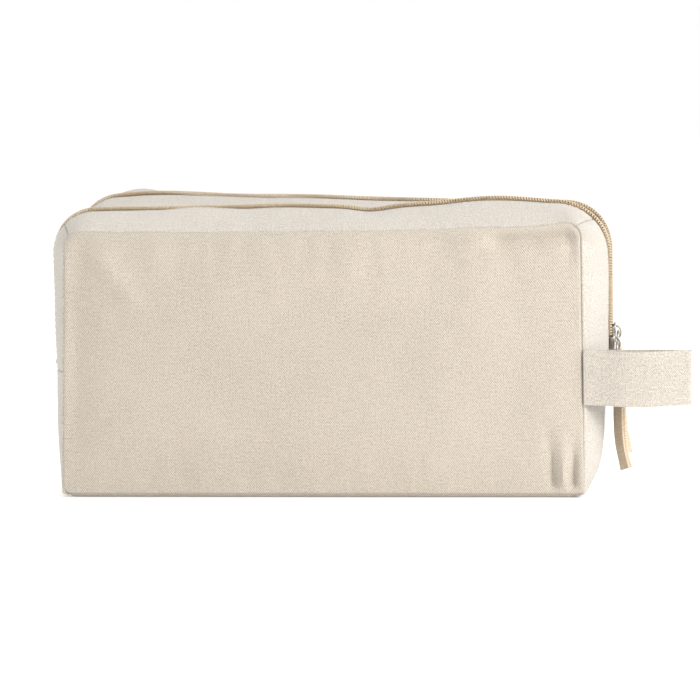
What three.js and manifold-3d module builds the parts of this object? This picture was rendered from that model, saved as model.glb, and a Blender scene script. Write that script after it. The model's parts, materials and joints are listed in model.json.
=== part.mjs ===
// Shaving kit bag of natural cotton canvas: a soft box with two compartments side by side,
// each closed by its own coil zip that runs up one end, over the top and down the other end.
// Millimetres. The origin is the middle of the base, on the surface that the bag stands on;
// +X runs along the bag to the end with the carry loop, -Y is the front, +Z is up.
import * as THREE from "three";
import { mergeVertices } from "three/addons/utils/BufferGeometryUtils.js";
import Module from "manifold-3d";

const wasm = await Module();
wasm.setup();

// ---- Driving dimensions ----
// the bag
const LENGTH = 260; // front panel, seam to seam
const HEIGHT = 134; // front panel, base to top seam
const DEPTH = 104; // front panel to back panel
const CORNER_RADIUS = 8; // top corners of the front and back panels
const LEFT_BULGE = 8; // how far the left end stands out past the seams, at its crown
const RIGHT_BULGE = 14; // and the right end, which holds the loop and the parked sliders
const TOP_RISE = 10; // how far the top stands above the seams, at its crown
const CROWN_RADIUS = 26; // top corners at the crown
const CLOTH = 1.6; // canvas, with the fold that stiffens it
const FOLD_HEIGHT = 75; // where an opened cover folds out, just above the carry loop
const GAP = 0.3; // between pieces that are sewn or laid against each other

// the zips
const ZIP_OFFSET = 26; // centre line of a zip from the middle of the bag
const ZIP_OPENING = 10; // between the two canvas edges
const ZIP_FOOT = 64; // height of a zip's ends above the base
const TAPE = 0.7;
const TAPE_SLOT = 2.4; // between the woven edges of the two tapes
const TAPE_WIDTH = 9.8;
const COIL_WIDTH = 2.2;
const COIL_HEIGHT = 2;
const COIL_SLOT = 1.6; // between the two coils, where the slider's post runs
const STOP_LENGTH = 2.2;
const STOP_MARGIN = 1; // from a zip's end to its stop
const STOP_PROUD = 0.2; // a stop stands this far above its coil

// the sliders, their rings and tabs
const SLIDER_HEIGHT = 74; // where a closed zip's slider is parked
const SLIDER_LENGTH = 8;
const SLIDER_WIDTH = 8.6;
const SLIDER_PLATE = 1;
const SLIDER_CLEARANCE = 0.4; // from the outer plate to the coil
const INNER_CLEARANCE = 1; // from the inner plate to the tape, which curves down under it
const POST_WIDTH = 1;
const POST_LENGTH = 3;
const BRIDGE_WIDTH = 2.2;
const BRIDGE_WALL = 1;
const BRIDGE_LENGTH = 7;
const BRIDGE_ROOM = 2.9; // inside the bridge, plate to beam
const WIRE = 1.4; // the pull ring's wire
const RING_REACH = 7; // bar to bar
const RING_AXIS = 1.9; // from the slider's plate to the middle of the ring's bar
const TAB_WIDTH = 10;
const TAB_LENGTH = 57;
const TAB_CLOTH = 1.2;
const TAB_LAYER_GAP = 0.5;
const TAB_FOLD_RADIUS = 1.4; // inside the fold that holds the ring
const TAB_TAPER = 7; // from the fold to where its two layers meet

// the divider and the tape that binds the seams inside
const DIVIDER = 1.2;
const DIVIDER_INSET = 0.8; // from the canvas to the divider's edge
const BINDING = 1.5;
const BINDING_WIDTH = 8;
const BINDING_GAP = 0.5; // from the canvas to its binding
const BINDING_INSET = 3; // from an end of the base to the end of its binding

// the carry loop
const LOOP_WIDTH = 27;
const LOOP_LENGTH = 53;
const LOOP_CLOTH = 1.5;
const LOOP_MIDDLE_HEIGHT = 60;
const LOOP_BOW = 4.5; // how far each leg bows out from the other
const LOOP_LAYER_GAP = 0.25; // between the legs where the seam holds them

// ---- Worked-out values ----
const HALF_LENGTH = LENGTH / 2;
const HALF_DEPTH = DEPTH / 2;
const CROWN_SIDE = HEIGHT + TOP_RISE - CROWN_RADIUS; // where an end turns into its corner
const PANEL_EDGE = HALF_DEPTH - CLOTH - GAP; // the strips start behind the front panel
const TAPE_DEPTH = CLOTH + GAP; // a tape lies inside the canvas
const COIL_FOOT = TAPE_DEPTH - GAP; // a coil stands on its tape
const SEAM_STEP = (GAP / CORNER_RADIUS / Math.PI) * 2; // stations are defined at bagPoint
const FOLD_STEP = (0.5 * GAP) / (CROWN_SIDE - FOLD_HEIGHT);
const BASE_STEP = (0.5 * (CLOTH + GAP)) / FOLD_HEIGHT;
const FOLD_STATION = 2.5;
const SEAM_STATION = 1.5;

const canvasLight = [0xf0e6d6, 0.95, 0];
const canvasPale = [0xe8e0d2, 0.95, 0];
const canvasWarm = [0xe0d0ba, 0.95, 0];
const tapeCotton = [0xcdb693, 0.9, 0];
const coilNylon = [0xb89b6c, 0.55, 0];
const bindingCotton = [0xe6dccb, 0.95, 0];
const zincAlloy = [0x8f8a82, 0.35, 0.9];

const bag = new THREE.Group();

function add(name, geometry, [color, roughness, metalness]) {
  const material = new THREE.MeshStandardMaterial({ color, roughness, metalness });
  const mesh = new THREE.Mesh(geometry, material);
  mesh.name = name;
  bag.add(mesh);
  return mesh;
}

// ---- The bag's outer surface ----
// How far the surface has risen from the panels' plane, 0 at a seam and 1 between the zips.
function crown(y) {
  const beyond = Math.max(0, Math.abs(y) - ZIP_OFFSET) / (HALF_DEPTH - ZIP_OFFSET);
  return 1 - beyond * beyond;
}

// A point of the outer surface. The station runs from -3 at the foot of the left end, through
// -2 and -1 where the corner starts and ends, 0 at the middle of the top, to 3 at the foot of the
// right end. It is 2.5 at the fold on either end.
function bagPoint(station, y) {
  const rise = crown(y);
  const bulge = (station < 0 ? LEFT_BULGE : RIGHT_BULGE) * rise;
  const radius = CORNER_RADIUS + (CROWN_RADIUS - CORNER_RADIUS) * rise;
  const side = HEIGHT + TOP_RISE * rise - radius;
  const flat = HALF_LENGTH + bulge - radius;
  const s = Math.abs(station);
  let x, z;
  if (s > 2) {
    z =
      s > FOLD_STATION
        ? (FOLD_HEIGHT * (3 - s)) / 0.5
        : FOLD_HEIGHT + ((side - FOLD_HEIGHT) * (FOLD_STATION - s)) / 0.5;
    x = HALF_LENGTH + bulge * (1 - Math.pow(1 - z / side, 4));
  } else if (s > 1) {
    const turn = ((s - 1) * Math.PI) / 2;
    x = flat + radius * Math.sin(turn);
    z = side + radius * Math.cos(turn);
  } else {
    x = flat * s;
    z = side + radius;
  }
  return new THREE.Vector3(Math.sign(station) * x, y, z);
}

function normalOf(surface, u, v) {
  const step = 1e-3;
  const alongU = surface(u + step, v).sub(surface(u - step, v));
  const alongV = surface(u, v + step).sub(surface(u, v - step));
  return alongU.cross(alongV).normalize();
}

// A closed slab bent onto a surface: us and vs are its rising grid lines, and inner and outer are
// the heights of its two faces along the surface's normal.
function slab(surface, us, vs, inner, outer) {
  const columns = us.length - 1;
  const rows = vs.length - 1;
  const geometry = new THREE.BoxGeometry(1, 1, 1, columns, rows, 1);
  const position = geometry.attributes.position;
  for (let i = 0; i < position.count; i++) {
    const u = us[Math.round((position.getX(i) + 0.5) * columns)];
    const v = vs[Math.round((position.getY(i) + 0.5) * rows)];
    const height = position.getZ(i) < 0 ? inner : outer;
    const point = surface(u, v).addScaledVector(normalOf(surface, u, v), height);
    position.setXYZ(i, point.x, point.y, point.z);
  }
  geometry.computeVertexNormals();
  return geometry;
}

function spread(from, to, steps) {
  return Array.from({ length: steps + 1 }, (_, i) => from + ((to - from) * i) / steps);
}

// Grid lines along the bag between two stations: close together on the curved stretches.
const breaks = [spread(0, 1, 1), spread(1, 2, 4), spread(2, 2.5, 3), spread(2.5, 3, 8)].flat();
const allBreaks = [...breaks.map((s) => -s), ...breaks].sort((a, b) => a - b);
function stations(from, to) {
  const least = 0.02;
  const lines = [from];
  for (const s of allBreaks)
    if (s > lines.at(-1) + least && s < to - least) lines.push(s);
  return [...lines, to];
}

// The station of a height on the right end's crown.
function stationAt(z) {
  const span = z > FOLD_HEIGHT ? CROWN_SIDE - FOLD_HEIGHT : FOLD_HEIGHT;
  return FOLD_STATION - (0.5 * (z - FOLD_HEIGHT)) / span;
}

// Grid lines across the bag between two distances from its middle, on its front or back half.
function across(side, near, far) {
  const middle = (ZIP_OFFSET + PANEL_EDGE) / 2;
  const bindingEdge = PANEL_EDGE - BINDING_WIDTH;
  const lines = [ZIP_OFFSET + ZIP_OPENING / 2, middle, bindingEdge, (bindingEdge + PANEL_EDGE) / 2];
  const used = [near, ...lines.filter((y) => y > near + GAP && y < far - GAP), far];
  return side < 0 ? used.map((y) => -y).reverse() : used;
}

// A flat panel across the bag at y, with the bag's own outline there, drawn in by inset.
function outlinePanel(y, inset) {
  const edge = (station) =>
    bagPoint(station, y).addScaledVector(normalOf(bagPoint, station, 0), -inset);
  return (u, station) => edge(-station).lerp(edge(station), (u + 1) / 2).setY(y);
}

// A closed mesh as a manifold-3d solid, and back.
function solidOf(geometry) {
  const bare = geometry.clone();
  bare.deleteAttribute("normal");
  bare.deleteAttribute("uv");
  const merged = mergeVertices(bare, 1e-3);
  return new wasm.Manifold(
    new wasm.Mesh({
      numProp: 3,
      vertProperties: merged.attributes.position.array,
      triVerts: new Uint32Array(merged.index.array),
    }),
  );
}

function geometryOf(solid) {
  const mesh = solid.getMesh();
  const geometry = new THREE.BufferGeometry();
  geometry.setAttribute("position", new THREE.BufferAttribute(mesh.vertProperties, 3));
  geometry.setIndex(new THREE.BufferAttribute(mesh.triVerts, 1));
  geometry.computeVertexNormals();
  return geometry;
}

function solidBox(x, y, z) {
  const box = new THREE.BoxGeometry(x[1] - x[0], y[1] - y[0], z[1] - z[0]);
  box.translate((x[0] + x[1]) / 2, (y[0] + y[1]) / 2, (z[0] + z[1]) / 2);
  return solidOf(box);
}

// ---- Base, ends and the strip between the zips ----
function addBase() {
  const floor = (x, back) => new THREE.Vector3(x, -back, 0);
  const halfWidth = PANEL_EDGE;
  const panel = slab(floor, [-HALF_LENGTH, HALF_LENGTH], [-halfWidth, halfWidth], -CLOTH, 0);
  add("bottom_panel", panel, canvasWarm);
}

// The ends below the fold, each with two slits in its upper edge for the ends of the zips.
function addEnds() {
  const foot = 3 - BASE_STEP;
  const widths = [-1, 1].flatMap((side) => across(side, ZIP_OFFSET, PANEL_EDGE));
  const slits = [-1, 1].map((side) => {
    const edges = [-1, 1].map((way) => side * ZIP_OFFSET + (way * ZIP_OPENING) / 2);
    return solidBox([-LENGTH, LENGTH], edges, [ZIP_FOOT, HEIGHT]);
  });
  const cut = (geometry) => geometryOf(solidOf(geometry).subtract(slits[0]).subtract(slits[1]));
  const right = slab(bagPoint, stations(FOLD_STATION, foot), widths, -CLOTH, 0);
  const left = slab(bagPoint, stations(-foot, -FOLD_STATION), widths, -CLOTH, 0);
  add("right_end_panel", cut(right), canvasLight);
  add("left_end_panel", cut(left), canvasWarm);
}

// The three lengths of one strip: down the left end, over the top and down the right end.
function addStrip(name, widths, color) {
  const fold = FOLD_STATION - FOLD_STEP;
  const seam = SEAM_STATION;
  const right = slab(bagPoint, stations(seam + SEAM_STEP, fold), widths, -CLOTH, 0);
  const top = slab(bagPoint, stations(-seam, seam), widths, -CLOTH, 0);
  const left = slab(bagPoint, stations(-fold, -seam - SEAM_STEP), widths, -CLOTH, 0);
  add(name + "_right", right, color);
  add(name + "_top", top, color);
  add(name + "_left", left, color);
}

function addDivider() {
  const rows = stations(1, 3 - BASE_STEP);
  const panel = slab(outlinePanel(0, CLOTH + DIVIDER_INSET), [-1, 1], rows, -DIVIDER / 2, DIVIDER / 2);
  add("divider", panel, canvasPale);
}

// ---- Front and back panels, folded out with their covers above the fold ----
function addPanel(name, side, color) {
  const surface = (u, station) => outlinePanel(side * HALF_DEPTH, 0)(-side * u, -station);
  const lower = slab(surface, [-1, 1], [-3, -FOLD_STATION], -CLOTH, 0);
  const upperRows = stations(-FOLD_STATION + FOLD_STEP, -1);
  const upper = slab(surface, [-1, 1], upperRows, -CLOTH, 0);
  add(name + "_panel_lower", lower, color);
  add(name + "_panel_upper", upper, color);
}

// ---- Binding tape over the raw seam edges inside ----
function addBinding(name, side) {
  const near = PANEL_EDGE - BINDING_WIDTH;
  const outer = -CLOTH - BINDING_GAP;
  const inner = outer - BINDING;
  const widths = across(side, near, PANEL_EDGE);
  const foot = 3 - (0.5 * (CLOTH + BINDING_GAP + BINDING + GAP)) / FOLD_HEIGHT;
  const fold = FOLD_STATION - FOLD_STEP;
  const top = slab(bagPoint, stations(-fold, fold), widths, inner, outer);
  const right = slab(bagPoint, stations(FOLD_STATION, foot), widths, inner, outer);
  const left = slab(bagPoint, stations(-foot, -FOLD_STATION), widths, inner, outer);
  const floor = (x, back) => new THREE.Vector3(x, -back, 0);
  const half = HALF_LENGTH - BINDING_INSET;
  const bottom = slab(floor, [-half, half], across(-side, near, PANEL_EDGE), inner, outer);
  add(name + "_binding_top", top, bindingCotton);
  add(name + "_binding_right", right, bindingCotton);
  add(name + "_binding_left", left, bindingCotton);
  add(name + "_binding_bottom", bottom, bindingCotton);
}

// ---- Zips ----
// The inner half of a zip stays on the middle strip. The outer half opens with the cover down to
// the fold, and its two feet below the fold stay on the ends.
function addZip(name, side) {
  const zipEnd = stationAt(ZIP_FOOT);
  const stopFoot = stationAt(ZIP_FOOT + STOP_MARGIN);
  const stopHead = stationAt(ZIP_FOOT + STOP_MARGIN + STOP_LENGTH);
  const chainEnd = stationAt(ZIP_FOOT + STOP_MARGIN + STOP_LENGTH + GAP);
  const fold = FOLD_STATION - FOLD_STEP;
  const coilTop = COIL_HEIGHT - COIL_FOOT;
  const coilNear = COIL_SLOT / 2;
  const coilFar = coilNear + COIL_WIDTH;
  const tape = (lines, from, to) =>
    slab(bagPoint, stations(from, to), lines, -TAPE_DEPTH - TAPE, -TAPE_DEPTH);
  const coil = (lines, from, to) =>
    slab(bagPoint, stations(from, to), lines, -COIL_FOOT, coilTop);
  const stop = (lines, from, to) =>
    slab(bagPoint, [from, to], lines, -COIL_FOOT, coilTop + STOP_PROUD);
  const band = (way, near, far) => {
    const ends = [ZIP_OFFSET + way * near, ZIP_OFFSET + way * far].sort((a, b) => a - b);
    return across(side, ...ends);
  };
  const tapeLines = (way) => band(way, TAPE_SLOT / 2, TAPE_SLOT / 2 + TAPE_WIDTH);
  const coilLines = (way) => band(way, coilNear, coilFar);
  add(name + "_zip_inner_tape", tape(tapeLines(-1), -zipEnd, zipEnd), tapeCotton);
  add(name + "_zip_inner_coil", coil(coilLines(-1), -chainEnd, chainEnd), coilNylon);
  add(name + "_zip_outer_tape", tape(tapeLines(1), -fold, fold), tapeCotton);
  add(name + "_zip_outer_coil", coil(coilLines(1), -fold, fold), coilNylon);
  add(name + "_zip_tape_foot_right", tape(tapeLines(1), FOLD_STATION, zipEnd), tapeCotton);
  add(name + "_zip_tape_foot_left", tape(tapeLines(1), -zipEnd, -FOLD_STATION), tapeCotton);
  add(name + "_zip_coil_foot_right", coil(coilLines(1), FOLD_STATION, chainEnd), coilNylon);
  add(name + "_zip_coil_foot_left", coil(coilLines(1), -chainEnd, -FOLD_STATION), coilNylon);
  add(name + "_zip_top_stop_inner", stop(coilLines(-1), stopHead, stopFoot), zincAlloy);
  add(name + "_zip_top_stop_outer", stop(coilLines(1), stopHead, stopFoot), zincAlloy);
  const bothHalves = across(side, ZIP_OFFSET - coilFar, ZIP_OFFSET + coilFar);
  add(name + "_zip_bottom_stop", stop(bothHalves, -stopFoot, -stopHead), zincAlloy);
}

// ---- Sliders, pull rings and pull tabs ----
const outerPlate = COIL_HEIGHT - COIL_FOOT + SLIDER_CLEARANCE; // inner face of the outer plate
const innerPlate = -TAPE_DEPTH - TAPE - INNER_CLEARANCE; // outer face of the inner plate
const plateTop = outerPlate + SLIDER_PLATE;
const ringAxis = plateTop + RING_AXIS;

// Two plates that hold the zip between them, the post that joins them between the coils, and the
// bridge that the pull ring hangs in. Local x is the height above the canvas.
function addSlider(name, place) {
  const halfLength = SLIDER_LENGTH / 2;
  const halfWidth = SLIDER_WIDTH / 2;
  const halfBridge = BRIDGE_LENGTH / 2;
  const beam = plateTop + BRIDGE_ROOM;
  const width = [-halfWidth, halfWidth];
  const length = [-halfLength, halfLength];
  const bridge = [-BRIDGE_WIDTH / 2, BRIDGE_WIDTH / 2];
  const post = [-POST_WIDTH / 2, POST_WIDTH / 2];
  const sink = SLIDER_PLATE / 2; // how far the post and the bridge's legs run into the plates
  const solid = [
    solidBox([outerPlate, plateTop], width, length),
    solidBox([innerPlate - SLIDER_PLATE, innerPlate], width, length),
    solidBox([innerPlate - sink, outerPlate + sink], post, [-halfLength, -halfLength + POST_LENGTH]),
    solidBox([plateTop - sink, beam + sink], bridge, [-halfBridge, -halfBridge + BRIDGE_WALL]),
    solidBox([plateTop - sink, beam + sink], bridge, [halfBridge - BRIDGE_WALL, halfBridge]),
    solidBox([beam, beam + BRIDGE_WALL], bridge, [-halfBridge, halfBridge]),
  ].reduce((whole, piece) => whole.add(piece));
  add(name + "_slider", geometryOf(solid), zincAlloy).position.copy(place);
}

function rectangle(path, halfWidth, bottom, top) {
  path.moveTo(-halfWidth, bottom);
  path.lineTo(halfWidth, bottom);
  path.lineTo(halfWidth, top);
  path.lineTo(-halfWidth, top);
  path.closePath();
  return path;
}

// A rectangle of wire: its upper bar lies in the bridge and its lower bar holds the tab.
function addPullRing(name, place) {
  const inside = TAB_WIDTH / 2 + GAP + 0.1;
  const outside = inside + WIRE;
  const outline = rectangle(new THREE.Shape(), outside, -RING_REACH - WIRE / 2, WIRE / 2);
  outline.holes.push(rectangle(new THREE.Path(), inside, -RING_REACH + WIRE / 2, -WIRE / 2));
  const geometry = new THREE.ExtrudeGeometry(outline, { depth: WIRE, bevelEnabled: false });
  const standing = new THREE.Matrix4().makeBasis(
    new THREE.Vector3(0, 1, 0),
    new THREE.Vector3(0, 0, 1),
    new THREE.Vector3(1, 0, 0),
  );
  geometry.translate(0, 0, ringAxis - WIRE / 2).applyMatrix4(standing);
  add(name + "_pull_ring", geometry, zincAlloy).position.copy(place);
}

// A strip folded over the ring's lower bar. Its path, in the plane across the zip, goes up one
// layer, round the bar and down the other; the parameter is -1 at one free end and 1 at the other.
function addPullTab(name, place) {
  const foldRadius = TAB_FOLD_RADIUS + TAB_CLOTH / 2;
  const layerOffset = (TAB_LAYER_GAP + TAB_CLOTH) / 2;
  const strip = (t, y) => {
    const s = Math.abs(t);
    let x, z;
    if (s < 0.4) {
      const turn = ((s / 0.4) * Math.PI) / 2;
      x = foldRadius * Math.sin(turn);
      z = foldRadius * Math.cos(turn);
    } else {
      const run = (s - 0.4) / 0.6;
      z = -TAB_LENGTH * run;
      const meet = THREE.MathUtils.smoothstep(-z, 0, TAB_TAPER);
      x = foldRadius + (layerOffset - foldRadius) * meet;
    }
    return new THREE.Vector3(Math.sign(t) * x, y, z);
  };
  const tapered = [0.42, 0.44, 0.46, 0.475];
  const half = [...spread(0, 0.4, 5), ...tapered, 1];
  const lines = [...half.slice(1).reverse().map((s) => -s), ...half];
  const widths = [-TAB_WIDTH / 2, TAB_WIDTH / 2];
  const geometry = slab(strip, lines, widths, -TAB_CLOTH / 2, TAB_CLOTH / 2);
  geometry.translate(ringAxis, 0, -RING_REACH);
  add(name + "_pull_tab", geometry, canvasWarm).position.copy(place);
}

// ---- Carry loop ----
// A strap folded in half, both ends caught in the front right seam. The parameter runs from -1 at
// the front leg's end, through 0 at the fold, to 1 at the rear leg's end.
function addCarryLoop() {
  const legOffset = (LOOP_LAYER_GAP + LOOP_CLOTH) / 2;
  const start = HALF_LENGTH + LOOP_CLOTH / 2 + GAP;
  const run = LOOP_LENGTH - legOffset;
  const strap = (t, z) => {
    const s = Math.abs(t);
    let x, y;
    if (s < 0.2) {
      const turn = ((s / 0.2) * Math.PI) / 2;
      x = run + legOffset * Math.cos(turn);
      y = legOffset * Math.sin(turn);
    } else {
      const out = (1 - s) / 0.8;
      x = run * out;
      y = legOffset + LOOP_BOW * Math.pow(Math.sin(Math.PI * out), 2);
    }
    return new THREE.Vector3(start + x, -HALF_DEPTH + Math.sign(t) * y, z);
  };
  const half = [...spread(0, 0.2, 3), ...spread(0.2, 1, 12).slice(1)];
  const lines = [...half.slice(1).reverse().map((s) => -s), ...half];
  const edges = [LOOP_MIDDLE_HEIGHT - LOOP_WIDTH / 2, LOOP_MIDDLE_HEIGHT + LOOP_WIDTH / 2];
  add("carry_loop", slab(strap, lines, edges, -LOOP_CLOTH / 2, LOOP_CLOTH / 2), canvasLight);
}

addBase();
addEnds();
addStrip("middle_strip", [-ZIP_OFFSET + ZIP_OPENING / 2, ZIP_OFFSET - ZIP_OPENING / 2], canvasPale);
addDivider();
for (const [name, side] of [["front", -1], ["rear", 1]]) {
  addPanel(name, side, canvasWarm);
  addStrip(name + "_strip", across(side, ZIP_OFFSET + ZIP_OPENING / 2, PANEL_EDGE), canvasPale);
  addBinding(name, side);
  addZip(name, side);
  const place = bagPoint(stationAt(SLIDER_HEIGHT), side * ZIP_OFFSET);
  addSlider(name, place);
  addPullRing(name, place);
  addPullTab(name, place);
}
addCarryLoop();

export default bag;
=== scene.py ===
"""A soft canvas shaving kit bag: cloth, zips, pulls and loop modelled round the bag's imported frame."""

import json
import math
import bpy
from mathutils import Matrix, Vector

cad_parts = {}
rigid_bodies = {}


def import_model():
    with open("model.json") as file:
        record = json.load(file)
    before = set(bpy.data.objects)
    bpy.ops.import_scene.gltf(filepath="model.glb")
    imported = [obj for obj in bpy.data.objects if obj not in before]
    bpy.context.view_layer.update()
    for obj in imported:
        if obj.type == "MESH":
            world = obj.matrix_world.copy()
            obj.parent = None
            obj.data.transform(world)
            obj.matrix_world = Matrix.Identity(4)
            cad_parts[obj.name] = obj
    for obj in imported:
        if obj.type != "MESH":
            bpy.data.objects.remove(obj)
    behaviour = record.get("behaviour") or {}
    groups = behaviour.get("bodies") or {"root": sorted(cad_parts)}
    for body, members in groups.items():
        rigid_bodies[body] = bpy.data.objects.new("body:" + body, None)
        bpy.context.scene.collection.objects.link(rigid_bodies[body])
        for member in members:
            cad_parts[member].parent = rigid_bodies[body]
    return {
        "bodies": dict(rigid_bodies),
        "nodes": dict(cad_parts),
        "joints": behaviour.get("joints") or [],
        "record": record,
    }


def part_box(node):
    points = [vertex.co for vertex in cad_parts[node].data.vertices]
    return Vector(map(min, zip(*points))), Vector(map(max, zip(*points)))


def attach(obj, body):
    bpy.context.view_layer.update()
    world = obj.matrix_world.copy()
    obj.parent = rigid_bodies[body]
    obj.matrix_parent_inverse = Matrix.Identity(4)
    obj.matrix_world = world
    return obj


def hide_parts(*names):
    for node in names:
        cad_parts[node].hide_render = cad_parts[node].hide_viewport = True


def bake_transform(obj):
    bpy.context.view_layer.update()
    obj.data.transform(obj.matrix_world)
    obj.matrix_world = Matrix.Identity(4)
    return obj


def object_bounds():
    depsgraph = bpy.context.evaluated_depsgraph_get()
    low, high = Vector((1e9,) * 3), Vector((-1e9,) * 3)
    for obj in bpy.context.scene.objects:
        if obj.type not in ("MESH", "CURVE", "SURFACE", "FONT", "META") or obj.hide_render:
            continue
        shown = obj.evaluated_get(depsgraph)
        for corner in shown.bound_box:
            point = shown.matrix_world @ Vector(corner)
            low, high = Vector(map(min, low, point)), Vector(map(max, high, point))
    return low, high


bl_info = {
    "name": "Canvas Shaving Kit Bag",
    "version": (1, 0, 0),
    "blender": (4, 5, 0),
    "location": "View3D > Sidebar > Wash Bag",
    "description": "Builds the cloth, zips, pulls and carry loop of a two-compartment canvas wash bag",
    "category": "Add Mesh",
}

from collections import namedtuple

import bmesh
import bpy
from mathutils import Matrix, Vector, noise

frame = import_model()
CAD_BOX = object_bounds()

MM = 0.001  # shapes are worked out in millimetres and made in metres


def node_box(node):
    """The lowest and highest corners of a frame part, in millimetres."""
    low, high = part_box(node)
    return Vector(low) / MM, Vector(high) / MM


# ---- Sizes taken from the frame, in millimetres ----
PANEL_LOW, PANEL_HIGH = node_box("front_panel_upper")
HALF_LENGTH = PANEL_HIGH.x
HALF_DEPTH = -PANEL_LOW.y
SEAM_HEIGHT = PANEL_HIGH.z
FOLD_HEIGHT = PANEL_LOW.z
CROWN_HEIGHT = node_box("middle_strip_top")[1].z
RIGHT_BULGE = node_box("middle_strip_right")[1].x - HALF_LENGTH
LEFT_BULGE = -node_box("middle_strip_left")[0].x - HALF_LENGTH
SLIDER_LOW, SLIDER_HIGH = node_box("front_slider")
ZIP_Y = -(SLIDER_LOW.y + SLIDER_HIGH.y) / 2
SLIDER_Z = (SLIDER_LOW.z + SLIDER_HIGH.z) / 2
ZIP_FOOT = node_box("front_zip_tape_foot_right")[0].z
RING_HIGH = node_box("front_pull_ring")[1]
LOOP_LOW, LOOP_HIGH = node_box("carry_loop")
DIVIDER_LOW, DIVIDER_HIGH = node_box("divider")

# ---- The bag's shape ----
CORNER = 8  # top corners at the front and back seams
RIGHT_CROWN = 26  # top corners at the crown
LEFT_CROWN = 22
SHOULDER = 3  # how much further the right end stands out at the zips than below them
ZIP_VALLEY = 1.7  # how far the cloth between the zips sinks
CLOTH = 0.7  # one layer of canvas
HEM_EDGE = 4.2  # from a zip's centre line to the folded edge of the canvas
CREASE = 1.0  # how tightly the canvas turns in at a seam
HEM_CREASE = 0.75
FOLD_SOFTNESS = 30  # a height above the fold
SEAM_SLOPE = 0.8  # share of a seam's turned edge that shows from above, where the top slopes to it
CORNER_SEAM = 1.5  # station of the seams that cross the top corners
FOOT = 3.0  # station of the foot of the ends
FOOT_RISE = 1.6  # how far the sewn foot of a panel stands off the ground
GROUND_EDGE = 2.4  # height of the base's turned-up edge

# How a cloth edge is turned: its radius, the angle it turns through, how far in from the edge the
# turn begins, and the length that runs on past it.
Turn = namedtuple("Turn", "radius angle lead tail")
SEAM_TURN = math.radians(116)
CORNER_TURN = Turn(CREASE, SEAM_TURN, 0.9 * CREASE / math.tan((math.pi - SEAM_TURN) / 2), 1.4)
FLAT_TURN = Turn(CREASE, math.radians(90), CREASE, 1.2)
HEM_TURN = Turn(HEM_CREASE, math.radians(180), HEM_CREASE, 4.5)


# ---- Small sums ----
def smooth(start, end, x):
    t = min(max((x - start) / (end - start), 0), 1)
    return t * t * (3 - 2 * t)


def bump(x, centre, width):
    return math.exp(-(((x - centre) / width) ** 2))


def mix(a, b, t):
    return a + (b - a) * t


def spread(start, end, step):
    """Evenly spaced values from start to end, about step apart."""
    count = max(1, round(abs(end - start) / step))
    return [mix(start, end, i / count) for i in range(count + 1)]


def joined(*runs):
    """Several runs of values as one, each value once."""
    line = []
    for run in runs:
        line += [value for value in run if not line or abs(value - line[-1]) > 1e-6]
    return line


def sign(x):
    return -1 if x < 0 else 1


# ---- The cloth's surface ----
def crown(y):
    beyond = max(0, abs(y) - ZIP_Y) / (HALF_DEPTH - ZIP_Y)
    return 1 - beyond * beyond


def end_reach(way, height, side):
    """How far an end stands out past its seams, at a height below the top corner."""
    full = 1 - max(0, 1 - height / side) ** 12
    if way < 0:
        return LEFT_BULGE * full
    return (RIGHT_BULGE - SHOULDER) * full + SHOULDER * smooth(35, 74, height)


def plain_bag(station, y):
    """The bag's smooth outside: station runs from -3 at the left foot, over the top, to 3 at the right."""
    way = sign(station)
    rise = crown(y)
    radius = mix(CORNER, RIGHT_CROWN if way > 0 else LEFT_CROWN, rise)
    bulge = (RIGHT_BULGE if way > 0 else LEFT_BULGE) * rise
    side = mix(SEAM_HEIGHT, CROWN_HEIGHT, rise) - radius
    s = abs(station)
    if s > 2:
        z = FOLD_HEIGHT * (3 - s) / 0.5 if s > 2.5 else mix(side, FOLD_HEIGHT, (s - 2) / 0.5)
        x = HALF_LENGTH + end_reach(way, z, side) * rise
    elif s > 1:
        turn = (s - 1) * math.pi / 2
        x = HALF_LENGTH + bulge - radius + radius * math.sin(turn)
        z = side + radius * math.cos(turn)
    else:
        x = (HALF_LENGTH + bulge - radius) * s
        z = side + radius
    return Vector((way * x, y, z))


# Where lines along the bag stand above their even curve: the rise of each swell, its place and its width.
FRONT_SEAM_SWELLS = ((1.3, -130, 30), (0.5, -85, 20), (0.9, 80, 25), (3.6, 131, 22))
FRONT_SEAM_DROP = 0.3
FRONT_ZIP_SWELLS = ((0.7, -25, 20), (-2, 25, 11), (3, 87, 27))
REAR_ZIP_SWELLS = ((5.4, -95, 45), (2.4, -20, 40), (-3, 100, 35))
BACK_SEAM_SWELLS = ((14.5, -108, 24), (1.5, 30, 60))


def swell(swells, x):
    return sum(rise * bump(x, centre, width) for rise, centre, width in swells)


def top_rise(x, y):
    """How far the soft top stands above or below its even curve."""
    front, rear = swell(FRONT_ZIP_SWELLS, x), swell(REAR_ZIP_SWELLS, x)
    front_seam = swell(FRONT_SEAM_SWELLS, x) - FRONT_SEAM_DROP
    lines = (front_seam, front, (front + rear) / 2, rear, swell(BACK_SEAM_SWELLS, x))
    place = min(max((y + HALF_DEPTH) / ZIP_Y, 0), 3.9999)
    return mix(lines[int(place)], lines[int(place) + 1], smooth(0, 1, place % 1))


def seam_lean(x, y, z):
    """The upright seams lean a little, and the ends' middles don't."""
    lean = 5 * z / SEAM_HEIGHT - 2.5 if x < 0 else 1.4 - 0.8 * z / SEAM_HEIGHT
    return lean * min(1, abs(x) / HALF_LENGTH) * smooth(30, 50, abs(y))


def ripple(point):
    """Small uneven waves that soft cloth holds anywhere."""
    return 0.45 * noise.noise(point / 24) + 0.16 * noise.noise(point / 9)


def settled(point):
    """Where a point of the even shape lies once the soft bag has settled."""
    x, y, z = point
    return Vector((x + seam_lean(x, y, z), y, z + top_rise(x, y) * smooth(85, 140, z)))


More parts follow.
